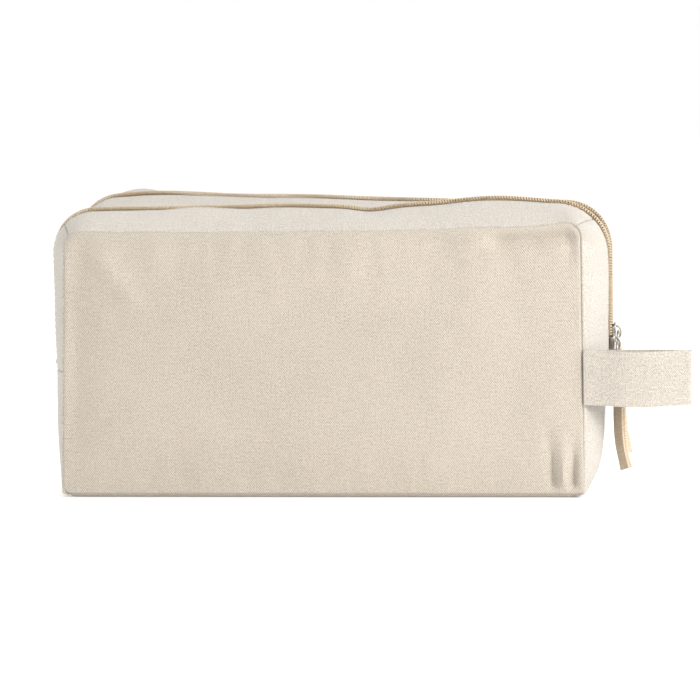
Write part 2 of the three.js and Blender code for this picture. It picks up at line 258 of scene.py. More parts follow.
def on_bag(station, y, height=0):
    """A point at a height above the settled cloth, and the cloth's outward direction there."""
    step, side_step = 0.002, 0.2
    along = settled(plain_bag(station + step, y)) - settled(plain_bag(station - step, y))
    across = settled(plain_bag(station, y + side_step)) - settled(plain_bag(station, y - side_step))
    normal = along.cross(across).normalized()
    point = settled(plain_bag(station, y))
    valley = ZIP_VALLEY * math.cos(math.pi * y / (2 * ZIP_Y)) ** 2 if abs(y) < ZIP_Y else 0
    calm = smooth(0, 6, abs(abs(y) - ZIP_Y)) * smooth(0, 5, HALF_DEPTH - abs(y))
    return point + normal * (height + ripple(point) * calm - valley), normal


def station_at(height):
    """The station where an end passes a height below its top corner."""
    if height <= FOLD_HEIGHT:
        return FOOT - 0.5 * height / FOLD_HEIGHT
    side = CROWN_HEIGHT - RIGHT_CROWN
    return 2.5 - 0.5 * (height - FOLD_HEIGHT) / (side - FOLD_HEIGHT)


def turned(t, turn):
    """Where cloth lies t mm from its sewn edge: how far in from the edge, and how deep under its face."""
    if t >= turn.lead:
        return t, 0.0
    arc = turn.radius * turn.angle
    run = t * (turn.tail + arc) / turn.lead
    if run < turn.tail:
        angle, beyond = turn.angle, turn.tail - run
    else:
        angle, beyond = turn.angle - (run - turn.tail) / turn.radius, 0.0
    along = turn.lead - turn.radius * math.sin(angle) - beyond * math.cos(angle)
    return along, turn.radius * (1 - math.cos(angle)) + beyond * math.sin(angle)


def turn_lines(turn, count=7):
    """Distances from a sewn edge that follow its turn closely."""
    return [turn.lead * i / count for i in range(count + 1)]


def new_piece(name, bm):
    """A mesh object from a bmesh in millimetres."""
    bmesh.ops.scale(bm, vec=(MM, MM, MM), verts=bm.verts)
    mesh = bpy.data.meshes.new(name)
    bm.to_mesh(mesh)
    bm.free()
    piece = bpy.data.objects.new(name, mesh)
    bpy.context.scene.collection.objects.link(piece)
    return piece


def settle_mesh(piece, sharp=50):
    """Applies the piece's modifiers and shades it smooth, with its real edges kept."""
    evaluated = piece.evaluated_get(bpy.context.evaluated_depsgraph_get())
    mesh = bpy.data.meshes.new_from_object(evaluated)
    old = piece.data
    piece.modifiers.clear()
    if piece.type == "CURVE":
        name = piece.name
        bpy.data.objects.remove(piece)
        bpy.data.curves.remove(old)
        piece = bpy.data.objects.new(name, mesh)
        bpy.context.scene.collection.objects.link(piece)
    else:
        piece.data = mesh
        bpy.data.meshes.remove(old)
    mesh.name = piece.name
    mesh.shade_smooth()
    mesh.set_sharp_from_angle(angle=math.radians(sharp))
    return piece


def cloth(name, rows, columns, place, thickness=CLOTH):
    """Cloth as a grid: place gives the millimetre point of each row and column value. Its UV map is the flat
    cloth, in metres."""
    points = [[place(row, column) for column in columns] for row in rows]
    bm = bmesh.new()
    bmesh.ops.create_grid(bm, x_segments=len(rows) - 1, y_segments=len(columns) - 1, size=1)
    uv = bm.loops.layers.uv.new("UVMap")
    middle = len(rows) // 2
    centre = len(columns) // 2
    run = [0.0]
    for i in range(1, len(rows)):
        run.append(run[-1] + (points[i][centre] - points[i - 1][centre]).length * MM)
    width = [0.0]
    for j in range(1, len(columns)):
        width.append(width[-1] + (points[middle][j] - points[middle][j - 1]).length * MM)
    cells = {}
    for vert in bm.verts:
        i = round((vert.co.x + 1) / 2 * (len(rows) - 1))
        j = round((vert.co.y + 1) / 2 * (len(columns) - 1))
        cells[vert] = (run[i], width[j])
        vert.co = points[i][j]
    for face in bm.faces:
        for loop in face.loops:
            loop[uv].uv = cells[loop.vert]
    piece = new_piece(name, bm)
    solid = piece.modifiers.new("thickness", "SOLIDIFY")
    solid.thickness = thickness * MM
    solid.offset = -1
    piece = settle_mesh(piece)
    return piece


def thread(name, paths, thickness, sides=1):
    """Round thread, wire or filament along each path of millimetre points."""
    curve = bpy.data.curves.new(name, "CURVE")
    curve.dimensions = "3D"
    curve.bevel_depth = thickness / 2 * MM
    curve.bevel_resolution = sides
    curve.use_fill_caps = True
    for points, closed in paths:
        spline = curve.splines.new("POLY")
        spline.points.add(len(points) - 1)
        spline.use_cyclic_u = closed
        for node, point in zip(spline.points, points):
            node.co = (*(point * MM), 1)
    piece = bpy.data.objects.new(name, curve)
    bpy.context.scene.collection.objects.link(piece)
    return settle_mesh(piece)


def stitches(name, places, length=2.6, thickness=0.42):
    """A row of stitches: each place is a point, the seam's direction and the cloth's outward direction."""
    bm = bmesh.new()
    for point, along, normal in places:
        across = normal.cross(along).normalized()
        turn = Matrix((along.normalized(), across, normal)).transposed().to_4x4()
        shape = turn @ Matrix.Diagonal((length / 2, thickness / 2, thickness / 2, 1))
        made = bmesh.ops.create_uvsphere(bm, u_segments=8, v_segments=5, radius=1, matrix=shape)
        bmesh.ops.translate(bm, vec=point - normal * 0.05, verts=made["verts"])
    return settle_mesh(new_piece(name, bm))


def stitch_line(name, place, start, end, pitch=3.3):
    """Stitches along place(t), which gives a point and outward direction, from t start to t end."""
    samples = [place(t) for t in spread(start, end, abs(end - start) / 400)]
    places, run, due = [], 0.0, pitch / 2
    for (point, normal), (after, _) in zip(samples, samples[1:]):
        step = (after - point).length
        while run + step > due:
            places.append((point.lerp(after, (due - run) / step), after - point, normal))
            due += pitch
        run += step
    return stitches(name, places)


def dress(piece, finish, body=None, blend=None, stands_for=(), slot=None):
    """Gives a finished piece its material, the body it moves with and the frame parts it stands for. The
    slot argument is not used."""
    piece.data.materials.clear()
    piece.data.materials.append(finish_of(finish))
    if blend:
        side = -1 if blend == "front_cover" else 1
        start = (0, side * HALF_DEPTH * MM, FOLD_HEIGHT * MM)
        end = (0, side * HALF_DEPTH * MM, (FOLD_HEIGHT + FOLD_SOFTNESS) * MM)
        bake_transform(piece)
    else:
        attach(piece, body or "root")
    slot or finish
    if stands_for:
        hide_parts(*stands_for)
    return piece


# ---- Finishes ----
class Field:
    """A number that varies over a surface, so that shader maths reads as arithmetic."""

    def __init__(self, finish, socket):
        self.finish = finish
        self.socket = socket

    def sum(self, operation, *others, clamp=False):
        settings = {"operation": operation, "use_clamp": clamp}
        made = self.finish.node("ShaderNodeMath", settings, dict(enumerate(others)))
        return Field(self.finish, made.outputs[0])

    def __add__(self, other):
        return self.sum("ADD", self, other)

    def __sub__(self, other):
        return self.sum("SUBTRACT", self, other)

    def __rsub__(self, other):
        return self.sum("SUBTRACT", other, self)

    def __mul__(self, other):
        return self.sum("MULTIPLY", self, other)

    def wave(self):
        return self.sum("SINE", self)

    def floor(self):
        return self.sum("FLOOR", self)

    def size(self):
        return self.sum("ABSOLUTE", self)

    def top(self, other):
        return self.sum("MAXIMUM", self, other)

    def over(self, start, end):
        """0 below start, 1 above end."""
        scaled = (self - start) * (1 / (end - start))
        return scaled.sum("ADD", scaled, 0.0, clamp=True)


MIX_LOW, MIX_HIGH, MIX_RESULT = 6, 7, 2  # the sockets of a Mix node that hold colours


class Finish:
    """A material under construction, on its Principled shader."""

    def __init__(self, name, colour, roughness, metallic=0.0, sheen=0.0):
        self.material = bpy.data.materials.new(name)
        self.material.use_nodes = True
        self.tree = self.material.node_tree
        self.shader = self.tree.nodes["Principled BSDF"]
        self.shader.inputs["Base Color"].default_value = (*colour, 1)
        self.shader.inputs["Roughness"].default_value = roughness
        self.shader.inputs["Metallic"].default_value = metallic
        self.shader.inputs["Sheen Weight"].default_value = sheen
        self.shader.inputs["Sheen Roughness"].default_value = 0.5
        self.material.diffuse_color = (*colour, 1)

    def node(self, kind, settings=None, inputs=None):
        made = self.tree.nodes.new(kind)
        for name, value in (settings or {}).items():
            setattr(made, name, value)
        for name, value in (inputs or {}).items():
            value = value.socket if isinstance(value, Field) else value
            if isinstance(value, bpy.types.NodeSocket):
                self.tree.links.new(value, made.inputs[name])
            else:
                made.inputs[name].default_value = value
        return made

    def scaled(self, source, sizes):
        """Texture coordinates, UV or Object, scaled so that one unit is the given size in metres."""
        place = self.node("ShaderNodeTexCoord")
        factor = tuple(1 / size for size in sizes)
        inputs = {"Vector": place.outputs[source], "Scale": factor}
        return self.node("ShaderNodeMapping", None, inputs).outputs["Vector"]

    def axes(self, vector):
        parts = self.node("ShaderNodeSeparateXYZ", None, {0: vector})
        return [Field(self, parts.outputs[i]) for i in range(3)]

    def noise(self, vector, detail=2.0, roughness=0.5):
        inputs = {"Vector": vector, "Scale": 1, "Detail": detail, "Roughness": roughness}
        return Field(self, self.node("ShaderNodeTexNoise", None, inputs).outputs[0])

    def colour(self, mask, low, high):
        """A colour from low to high, as mask goes from 0 to 1."""
        made = self.node("ShaderNodeMix", {"data_type": "RGBA"}, {0: mask})
        for index, value in ((MIX_LOW, low), (MIX_HIGH, high)):
            if isinstance(value, bpy.types.NodeSocket):
                self.tree.links.new(value, made.inputs[index])
            else:
                made.inputs[index].default_value = (*value, 1)
        return made.outputs[MIX_RESULT]

    def paint(self, colour=None, roughness=None, height=None, depth=0.0001, strength=1.0):
        if colour is not None:
            self.tree.links.new(colour, self.shader.inputs["Base Color"])
        if roughness is not None:
            self.tree.links.new(roughness.socket, self.shader.inputs["Roughness"])
        if height is not None:
            inputs = {"Height": height, "Distance": depth, "Strength": strength}
            bump_node = self.node("ShaderNodeBump", None, inputs)
            self.tree.links.new(bump_node.outputs[0], self.shader.inputs["Normal"])
        return self.material


def tinted(colour, factor):
    return tuple(min(1, part * factor) for part in colour)


def weave(finish, warp, weft, repeat):
    """Woven yarns on the cloth's own UV map: their height from 0 to 1. A repeat of 2 is a plain weave and
    of 3 a twill, whose floats step along diagonals."""
    a, b, _ = finish.axes(finish.scaled("UV", (warp, weft, 1)))
    turn = 2 * math.pi / repeat
    warp_round = (a * math.pi).wave().size()
    weft_round = (b * math.pi).wave().size()
    warp_over = ((b + a.floor()) * turn).wave() * 0.5 + 0.5
    weft_over = 1 - ((b.floor() + a) * turn).wave() * 0.5 - 0.5
    return (warp_round * warp_over).top(weft_round * weft_over)


HUSK = (0.30, 0.19, 0.10)  # the brown of cotton seed husk


def canvas(name, colour, warp=0.00036, weft=0.00047, repeat=3, specks=1.0, contrast=0.8):
    """Unbleached cotton canvas: yarns, thick and thin stretches, seed specks and a soft sheen."""
    finish = Finish(name, colour, 0.92, sheen=0.25)
    yarns = weave(finish, warp, weft, repeat)
    slubs = finish.noise(finish.scaled("UV", (0.0006, 0.012, 1)), 2)
    picks = finish.noise(finish.scaled("UV", (0.010, 0.0006, 1)), 2)
    cloud = finish.noise(finish.scaled("Object", (0.05, 0.05, 0.05)), 3)
    uneven = slubs * 0.5 + picks * 0.5
    a, b, _ = finish.axes(finish.scaled("UV", (warp * repeat, weft * repeat, 1)))
    wale = ((a + b + uneven * 0.35) * (2 * math.pi)).wave() * 0.5 + 0.5
    grain = finish.noise(finish.scaled("UV", (0.0007, 0.0010, 1)), 1)
    shade = (wale * contrast + grain * 1.5 + yarns * 0.3 + uneven * 0.8 + cloud * 0.3).over(1.2, 2.2)
    tone = finish.colour(shade, tinted(colour, 0.58), tinted(colour, 1.28))
    seeds = finish.noise(finish.scaled("Object", (0.0011, 0.0011, 0.0008)), 1)
    sparse = finish.noise(finish.scaled("Object", (0.006, 0.006, 0.006)), 1)
    seed_mask = (seeds + sparse * 0.35).over(0.955, 0.99) * (0.7 * specks)
    tone = finish.colour(seed_mask, tone, HUSK)
    return finish.paint(tone, height=wale * 0.8 + yarns * 0.6 + uneven * 0.6, depth=0.00025, strength=0.9)


def ribbed_tape(name, colour, pitch=0.0006):
    """Narrow woven tape with fine ribs along it."""
    finish = Finish(name, colour, 0.85, sheen=0.2)
    yarns = weave(finish, pitch * 1.6, pitch, 2)
    fleck = finish.noise(finish.scaled("Object", (0.003, 0.003, 0.003)), 2)
    mask = (yarns * 0.6 + fleck * 0.6).over(0.2, 1.0)
    tone = finish.colour(mask, tinted(colour, 0.72), tinted(colour, 1.12))
    return finish.paint(tone, height=yarns, depth=0.00015, strength=0.8)


def nylon(name, colour):
    """Zip coil filament, a little glossy, with uneven dye."""
    finish = Finish(name, colour, 0.42)
    fleck = finish.noise(finish.scaled("Object", (0.002, 0.002, 0.002)), 2)
    tone = finish.colour(fleck.over(0.3, 0.7), tinted(colour, 0.82), tinted(colour, 1.15))
    return finish.paint(tone, roughness=fleck * 0.25 + 0.3)


def cast_metal(name, colour):
    """Plated zinc with fine grain and duller rubbed patches."""
    finish = Finish(name, colour, 0.35, metallic=1.0)
    grain = finish.noise(finish.scaled("Object", (0.0009, 0.0009, 0.0035)), 3)
    patch = finish.noise(finish.scaled("Object", (0.005, 0.005, 0.005)), 2)
    tone = finish.colour(patch.over(0.35, 0.65), tinted(colour, 0.8), tinted(colour, 1.12))
    return finish.paint(tone, roughness=grain * 0.2 + patch * 0.2 + 0.16, height=grain, depth=0.00003)


def cotton_thread(name, colour):
    finish = Finish(name, colour, 0.75, sheen=0.3)
    twist = finish.noise(finish.scaled("Object", (0.0005, 0.0005, 0.0005)), 2)
    tone = finish.colour(twist.over(0.3, 0.7), tinted(colour, 0.85), tinted(colour, 1.1))
    return finish.paint(tone, height=twist, depth=0.00008)


# ---- What the user may change ----
def colour_setting(name, description, default):
    return bpy.props.FloatVectorProperty(
        name=name, description=description, subtype="COLOR", default=default
    )


def length_setting(name, description, default):
    return bpy.props.FloatProperty(name=name, description=description, default=default, unit="LENGTH")


class BAG_PG_colours(bpy.types.PropertyGroup):
    canvas: colour_setting("Canvas", "Front, back and base cloth", (0.432, 0.382, 0.320))
    strip: colour_setting("Top strips", "Cloth beside the zips", (0.495, 0.455, 0.402))
    strap: colour_setting("Strap", "Carry loop", (0.520, 0.472, 0.412))
    tab: colour_setting("Pull tab", "Folded cloth pulls", (0.620, 0.490, 0.350))
    tape: colour_setting("Zip tape", "Tape under the canvas edges", (0.250, 0.170, 0.090))
    coil: colour_setting("Zip coil", "Nylon coil", (0.500, 0.385, 0.240))
    metal: colour_setting("Zip metal", "Sliders, rings and stops", (0.42, 0.39, 0.35))


class BAG_PG_sizes(bpy.types.PropertyGroup):
    cloth_step: length_setting("Cloth step", "Spacing of the cloth's grid", 0.0018)
    wrinkle: length_setting("Wrinkle depth", "Depth of the panels' soft creases", 0.00135)
    coil_pitch: length_setting("Coil pitch", "Length of one turn of the zip's coil", 0.0014)
    wire: length_setting("Ring wire", "Thickness of the pull rings' wire", 0.0014)


def colours():
    return bpy.context.scene.bag_colours


def sizes():
    return bpy.context.scene.bag_sizes


finishes = {}


def finish_of(name):
    """The named finish, made when it is first asked for."""
    shades = colours()
    canvas_colour, strip, tab = tuple(shades.canvas), tuple(shades.strip), tuple(shades.tab)
    pale = dict(warp=0.00045, weft=0.00045, repeat=2, specks=0.5, contrast=0.55)
    inner = dict(warp=0.0005, weft=0.0005, repeat=2, specks=0.7)
    strap = dict(warp=0.00036, weft=0.00040, specks=0.9, contrast=0.4)
    tab_weave = dict(warp=0.00040, weft=0.00045, specks=0.4, contrast=0.3)
    makers = {
        "canvas": lambda: canvas("canvas", canvas_colour),
        "canvas_pale": lambda: canvas("canvas_pale", strip, **pale),
        "canvas_inner": lambda: canvas("canvas_inner", tinted(canvas_colour, 1.03), **inner),
        "canvas_strap": lambda: canvas("canvas_strap", tuple(shades.strap), **strap),
        "canvas_tab": lambda: canvas("canvas_tab", tab, **tab_weave),
        "binding_tape": lambda: ribbed_tape("binding_tape", tinted(strip, 0.95), 0.0007),
        "zip_tape": lambda: ribbed_tape("zip_tape", tuple(shades.tape), 0.0005),
        "zip_coil": lambda: nylon("zip_coil", tuple(shades.coil)),
        "zip_metal": lambda: cast_metal("zip_metal", tuple(shades.metal)),
        "thread": lambda: cotton_thread("thread", tinted(strip, 1.02)),
        "tab_thread": lambda: cotton_thread("tab_thread", tinted(tab, 0.8)),
    }
    if name not in finishes:
        finishes[name] = makers[name]()
    return finishes[name]


# ---- Flat panels with rounded corners ----
def rounded(x, z, box, radii):
    """Moves a point of a rectangle into the same rectangle with rounded corners. Gives the point, its
    distance from the edge and the direction out to it. Radii are for the foot and the top."""
    left, right, foot, top = box
    out_x = 1 if x > (left + right) / 2 else -1
    out_z = 1 if z > (foot + top) / 2 else -1
    radius = radii[1] if out_z > 0 else radii[0]
    edge_x = right if out_x > 0 else left
    edge_z = top if out_z > 0 else foot
    from_x, from_z = abs(edge_x - x), abs(edge_z - z)
    if from_x < radius and from_z < radius:
        a, b = (radius - from_x) / radius, (radius - from_z) / radius
        around = Vector((a * math.sqrt(1 - b * b / 2), b * math.sqrt(1 - a * a / 2)))
        x = edge_x - out_x * radius * (1 - around.x)
        z = edge_z - out_z * radius * (1 - around.y)
        out = Vector((around.x * out_x, around.y * out_z)).normalized() if around.length else Vector((0, 1))
        return x, z, radius * (1 - around.length), out
    if from_x < from_z:
        return x, z, from_x, Vector((out_x, 0))
    return x, z, from_z, Vector((0, out_z))


def edged_lines(start, end, turn, step):
    """Lines across a panel, close together where its two edges turn in."""
    near = [start + t for t in turn_lines(turn)]
    far = [end - t for t in reversed(turn_lines(turn))]
    return joined(near, spread(near[-1], far[0], step), far)


# Soft waves of a panel: how high, how long across, where in the pattern, and how long upward.
Wave = namedtuple("Wave", "rise across seed upward")
FRONT_WAVES = (Wave(1.1, 62, 3.1, 48), Wave(0.55, 21, 7.7, 34))
FRONT_TOP_STREAKS = Wave(0.75, 7.5, 1.3, 46)
FRONT_FOOT_STREAKS = Wave(0.45, 8, 5.9, 40)
BACK_WAVES = (Wave(1.2, 55, 13.1, 45), Wave(0.5, 19, 17.7, 30))
BACK_TOP_STREAKS = Wave(0.7, 9, 11.3, 46)

# Hollows below the front panel's top seam: depth, place and width across, height below the seam and size up.
Hollow = namedtuple("Hollow", "depth x across below upward")
FRONT_HOLLOWS = (
    Hollow(2.0, 125.5, 3, 13, 7),
    Hollow(1.6, 62, 12, 6, 5),
    Hollow(0.9, -95, 7, 7, 7),
    Hollow(0.9, -50, 14, 12, 9),
)
CREASE_X, CREASE_Z = -113, 124  # the middle of the slanting crease at the front panel's top left


def waves(kinds, x, z):
    return sum(w.rise * noise.noise(Vector((x / w.across, w.seed, z / w.upward))) for w in kinds)


def near_top(z, reach):
    """0 at a distance below the top seam, 1 close to it."""
    return smooth(SEAM_HEIGHT - reach, SEAM_HEIGHT - 8, z)


def foot_folds(x, z):
    """Two upright folds in the lower right corner, and the swell between them."""
    out = -2.4 * bump(x, 113 + 0.06 * (34 - z), 2.6) * smooth(46, 12, z)
    out -= 3.2 * bump(x, 125 - 0.04 * (24 - z), 2.4) * smooth(38, 8, z)
    return out + 1.2 * bump(x, 120, 2.4) * smooth(34, 16, z)


def slanting_crease(x, z):
    across = (x - CREASE_X) * 0.72 + (z - CREASE_Z) * 0.55
    along = (z - CREASE_Z) * 0.8 - (x - CREASE_X) * 0.5
    return 1.5 * bump(across, 0, 5) * smooth(4, -6, along) * smooth(-48, -20, along)


def front_folds(x, z):
    """How far the front panel stands out, in millimetres, from its folds and creases."""
    out = waves(FRONT_WAVES, x, z)
    out += waves((FRONT_TOP_STREAKS,), x, z) * near_top(z, 46)
    out += waves((FRONT_FOOT_STREAKS,), x, z) * smooth(40, 8, z)
    out += foot_folds(x, z) + slanting_crease(x, z)
    out -= 3.0 * smooth(80, 90, x) * smooth(132, 122, x) * bump(z, SEAM_HEIGHT - 6, 4)
    for dent in FRONT_HOLLOWS:
        out -= dent.depth * bump(x, dent.x, dent.across) * bump(z, SEAM_HEIGHT - dent.below, dent.upward)
    return out - 1.3 * smooth(-108, -126, x) * smooth(10, 40, z)


def back_folds(x, z):
    """The back panel, soft and a little uneven."""
    out = waves(BACK_WAVES, x, z) + waves((BACK_TOP_STREAKS,), x, z) * near_top(z, 45)
    return out - 1.4 * bump(x, -118, 4) * smooth(36, 18, z)


PANEL_FOOT_CORNER = 3
PANEL_FULLNESS = 0.8  # how far a panel's middle stands out past its seams


def sew_panel(name, side, folds):
    """A front or back panel: one cloth, turned in at its seams."""
    step = sizes().cloth_step / MM
    depth_scale = sizes().wrinkle / MM
    box = (-HALF_LENGTH, HALF_LENGTH, FOOT_RISE, SEAM_HEIGHT)

    def place(x, z):
        x, z, distance, out = rounded(side * -x, z, box, (PANEL_FOOT_CORNER, CORNER))
        along, deep = turned(distance, CORNER_TURN)
        x -= out.x * (along - distance)
        z -= out.y * (along - distance)
        full = smooth(0, 7, distance)
        stand = depth_scale * folds(x, z) * full + PANEL_FULLNESS * smooth(0, 30, distance)
        return settled(Vector((x, side * (HALF_DEPTH - deep + stand), z)))

    rows = edged_lines(-HALF_LENGTH, HALF_LENGTH, CORNER_TURN, step)
    columns = edged_lines(FOOT_RISE, SEAM_HEIGHT, CORNER_TURN, step)
    piece = cloth(name, rows, columns, place)
    cad = name.split("_")[0]
    covered = (cad + "_panel_lower", cad + "_panel_upper")
    dress(piece, "canvas", blend=cad + "_cover", stands_for=covered)


# ---- Strips, ends and base ----
def corner_rows(first, last, step):
    """Stations from first to last down the right side, evenly spaced along the crown."""
    lengths = ((0, 1, HALF_LENGTH - RIGHT_CROWN), (1, 2, RIGHT_CROWN * math.pi / 2),
               (2, 2.5, CROWN_HEIGHT - RIGHT_CROWN - FOLD_HEIGHT), (2.5, 3, FOLD_HEIGHT))
    line = []
    for start, end, length in lengths:
        low, high = max(first, start), min(last, end)
        if high > low + 1e-6:
            line = joined(line, spread(low, high, step * (end - start) / length))
    return line


def mirrored(values):
    return [-value for value in reversed(values)]


def seam_rows(stations, first_scale, last_scale):
    """Pairs of a station and the depth there, for a strip whose two ends turn in at flat seams. The scales
    are stations per millimetre at each end."""
    start, end = stations[0], stations[-1]
    way = sign(end - start)
    turns = [turned(t, FLAT_TURN) for t in turn_lines(FLAT_TURN, 5)]
    rows = [(start + way * along * first_scale, deep) for along, deep in turns]
    tail = [(end - way * along * last_scale, deep) for along, deep in reversed(turns)]
    low = min(rows[-1][0], tail[0][0])
    high = max(rows[-1][0], tail[0][0])
    inner = [(s, 0.0) for s in stations if low + 0.002 < s < high - 0.002]
    return rows + inner + tail


ON_CORNER = 1 / (RIGHT_CROWN * math.pi / 2)  # stations per millimetre round a top corner
ON_FOOT = 0.5 / FOLD_HEIGHT  # and below the fold


def strip_rows(part):
    """The rows of one length of a strip: over the top, or down the left or right end to the zip's foot."""
    step = sizes().cloth_step / MM
    if part == "top":
        right = corner_rows(0, CORNER_SEAM, step)
        return seam_rows(mirrored(right[1:]) + right, ON_CORNER, ON_CORNER)
    down = corner_rows(CORNER_SEAM, station_at(ZIP_FOOT), step)
    if part == "right":
        return seam_rows(down, ON_CORNER, ON_FOOT)
    return seam_rows(mirrored(down), ON_FOOT, ON_CORNER)


def turned_columns(edge, inward, turn):
    """Pairs of a place across the bag and the depth there, from an edge to where its turn ends."""
    slope = inward * (SEAM_SLOPE if turn is CORNER_TURN else 1)
    turns = [turned(t, turn) for t in turn_lines(turn)]
    return [(edge + along * slope, deep) for along, deep in turns]


def edge_columns(near, far, near_turn, far_turn, step):
    """Pairs of a place across the bag and the depth there, with both edges turned."""
    flat = spread(near + near_turn.lead, far - far_turn.lead, step)[1:-1]
    return (turned_columns(near, 1, near_turn) + [(y, 0.0) for y in flat]
            + turned_columns(far, -1, far_turn)[::-1])


STRIP_STEP = 2.0  # spacing of the lines along a strip


def bag_cloth(name, rows, columns, thickness=CLOTH, lift=None):
    """Cloth on the bag's surface, from rows and columns that each carry their own depth."""

    def place(row, column):
        deep = row[1] + column[1]
        height = lift(row[0], column[0]) if lift else 0
        return on_bag(row[0], column[0], height - deep)[0]

    return cloth(name, rows, columns, place, thickness)


def strip_lift(station, y):
    """The front strip's folded edge rides up over the coil at one place."""
    if abs(station) > 1 or y > 0:
        return 0
    x = (HALF_LENGTH + RIGHT_BULGE - RIGHT_CROWN) * station
    return 1.5 * bump(x, -63, 13) * smooth(HALF_DEPTH, ZIP_Y + HEM_EDGE, -y)


def sew_strip(side_name, side):
    """The strip between a front or back panel and its zip, in its three lengths."""
    near, far = ZIP_Y + HEM_EDGE, HALF_DEPTH
    if side > 0:
        columns = edge_columns(near, far, HEM_TURN, CORNER_TURN, STRIP_STEP)
    else:
        columns = edge_columns(-far, -near, CORNER_TURN, HEM_TURN, STRIP_STEP)
    for part in ("top", "left", "right"):
        name = f"{side_name}_strip_{part}"
        piece = bag_cloth(name + "_cloth", strip_rows(part), columns, lift=strip_lift)
        how = {"body" if part == "top" else "blend": side_name + "_cover"}
        dress(piece, "canvas_pale", stands_for=(name,), **how)


def sew_middle():
    """The strip between the two zips, in its three lengths."""
    edge = ZIP_Y - HEM_EDGE
    columns = edge_columns(-edge, edge, HEM_TURN, HEM_TURN, STRIP_STEP)
    for part in ("top", "left", "right"):
        name = "middle_strip_" + part
        piece = bag_cloth(name + "_cloth", strip_rows(part), columns)
        dress(piece, "canvas_pale", stands_for=(name,))


def sew_end(name, way):
    """The lower half of an end, from the base up to the zips."""
    step = sizes().cloth_step / MM
    rows = corner_rows(station_at(ZIP_FOOT), station_at(FOOT_RISE), step)
    if way < 0:
        rows = mirrored(rows)
    rows = seam_rows(rows, ON_FOOT, ON_FOOT)
    columns = edge_columns(-HALF_DEPTH, HALF_DEPTH, CORNER_TURN, CORNER_TURN, 2.2)
    piece = bag_cloth(name + "_cloth", rows, columns)
    dress(piece, "canvas_pale", slot="canvas", stands_for=(name,))


BASE_EDGE = 3.2  # how far in from its edge the base's cloth begins to turn up
BASE_TURN = math.radians(125)
BASE_TURN_RISE = 1.57  # 1 less the cosine of that turn
BASE_CORNER = 8
BASE_END_SWELL = 1.5  # how far the base's ends follow the ends' swell


def sew_base():
    """The base cloth, whose edge turns up to its seam all round."""
    box = (-HALF_LENGTH - 0.6, HALF_LENGTH + 0.6, -HALF_DEPTH + 0.4, HALF_DEPTH - 0.4)
    step = sizes().cloth_step / MM * 1.3

    def place(x, y):
        x, y, distance, out = rounded(x, y, box, (BASE_CORNER, BASE_CORNER))
        turn = max(0, 1 - distance / BASE_EDGE) * BASE_TURN
        rise = GROUND_EDGE * (1 - math.cos(turn)) / BASE_TURN_RISE
        inward = 0.15 * BASE_EDGE if distance < BASE_EDGE else 0.0
        if distance < BASE_EDGE / 3.5:
            inward += 0.3 * GROUND_EDGE * (math.sin(turn) - 1)
        x -= out.x * inward
        y -= out.y * inward
        slack = 0.5 + 0.5 * noise.noise(Vector((x / 40, y / 40, 2.2)))
        middle = smooth(4, 26, distance) * slack * 0.9
        x += sign(x) * BASE_END_SWELL * crown(y) * smooth(HALF_LENGTH - 20, HALF_LENGTH, abs(x))
        return Vector((x + seam_lean(x, HALF_DEPTH, 0), y, CLOTH * 0.05 + rise + middle))

    def lines(low, high):
        near = spread(0, BASE_EDGE, BASE_EDGE / 8)
        inner = spread(low + BASE_EDGE, high - BASE_EDGE, step)
        return joined([low + t for t in near], inner, [high - t for t in reversed(near)])

    piece = cloth("base_cloth", lines(*box[:2])[::-1], lines(*box[2:]), place)
    dress(piece, "canvas", stands_for=("bottom_panel",))


DIVIDER_DROP = 3.2  # from the outside of the top down to the divider's edge
DIVIDER_CORNERS = (6, 24)  # at its foot and top


def sew_divider():
    """The cloth wall between the two compartments."""
    low = DIVIDER_LOW.z + 0.8
    sample = [on_bag(s, 0, -DIVIDER_DROP)[0] for s in spread(-1, 1, 0.05)]

    def top_at(x):
        for before, after in zip(sample, sample[1:]):
            if before.x <= x <= after.x:
                return mix(before.z, after.z, (x - before.x) / (after.x - before.x))
        return sample[0].z if x < 0 else sample[-1].z

    box = (DIVIDER_LOW.x + 0.6, DIVIDER_HIGH.x - 0.6, 0, 100)

    def place(x, share):
        x, share, _, _ = rounded(x, share, box, DIVIDER_CORNERS)
        z = mix(low, top_at(x), share / 100)
        way = sign(x)
        side = CROWN_HEIGHT - RIGHT_CROWN
        reach = end_reach(way, min(z, side), side)
        full = RIGHT_BULGE if way > 0 else LEFT_BULGE
        x -= way * (full - reach) * min(1, abs(x) / HALF_LENGTH)
        wave = 0.9 * noise.noise(Vector((x / 40, 9.1, z / 50))) * smooth(0, 20, z)
        return Vector((x, wave, z))

    rows = spread(box[0], box[1], 3.2)
    piece = cloth("divider_cloth", rows, spread(0, 100, 2.4), place)
    dress(piece, "canvas_inner", stands_for=("divider",))


BINDING_CLOTH = 0.8  # the tape, folded in two
BINDING_DEPTH = 2.3  # under the bag's outside
BINDING_HEIGHT = 3.4  # off the ground, along the foot


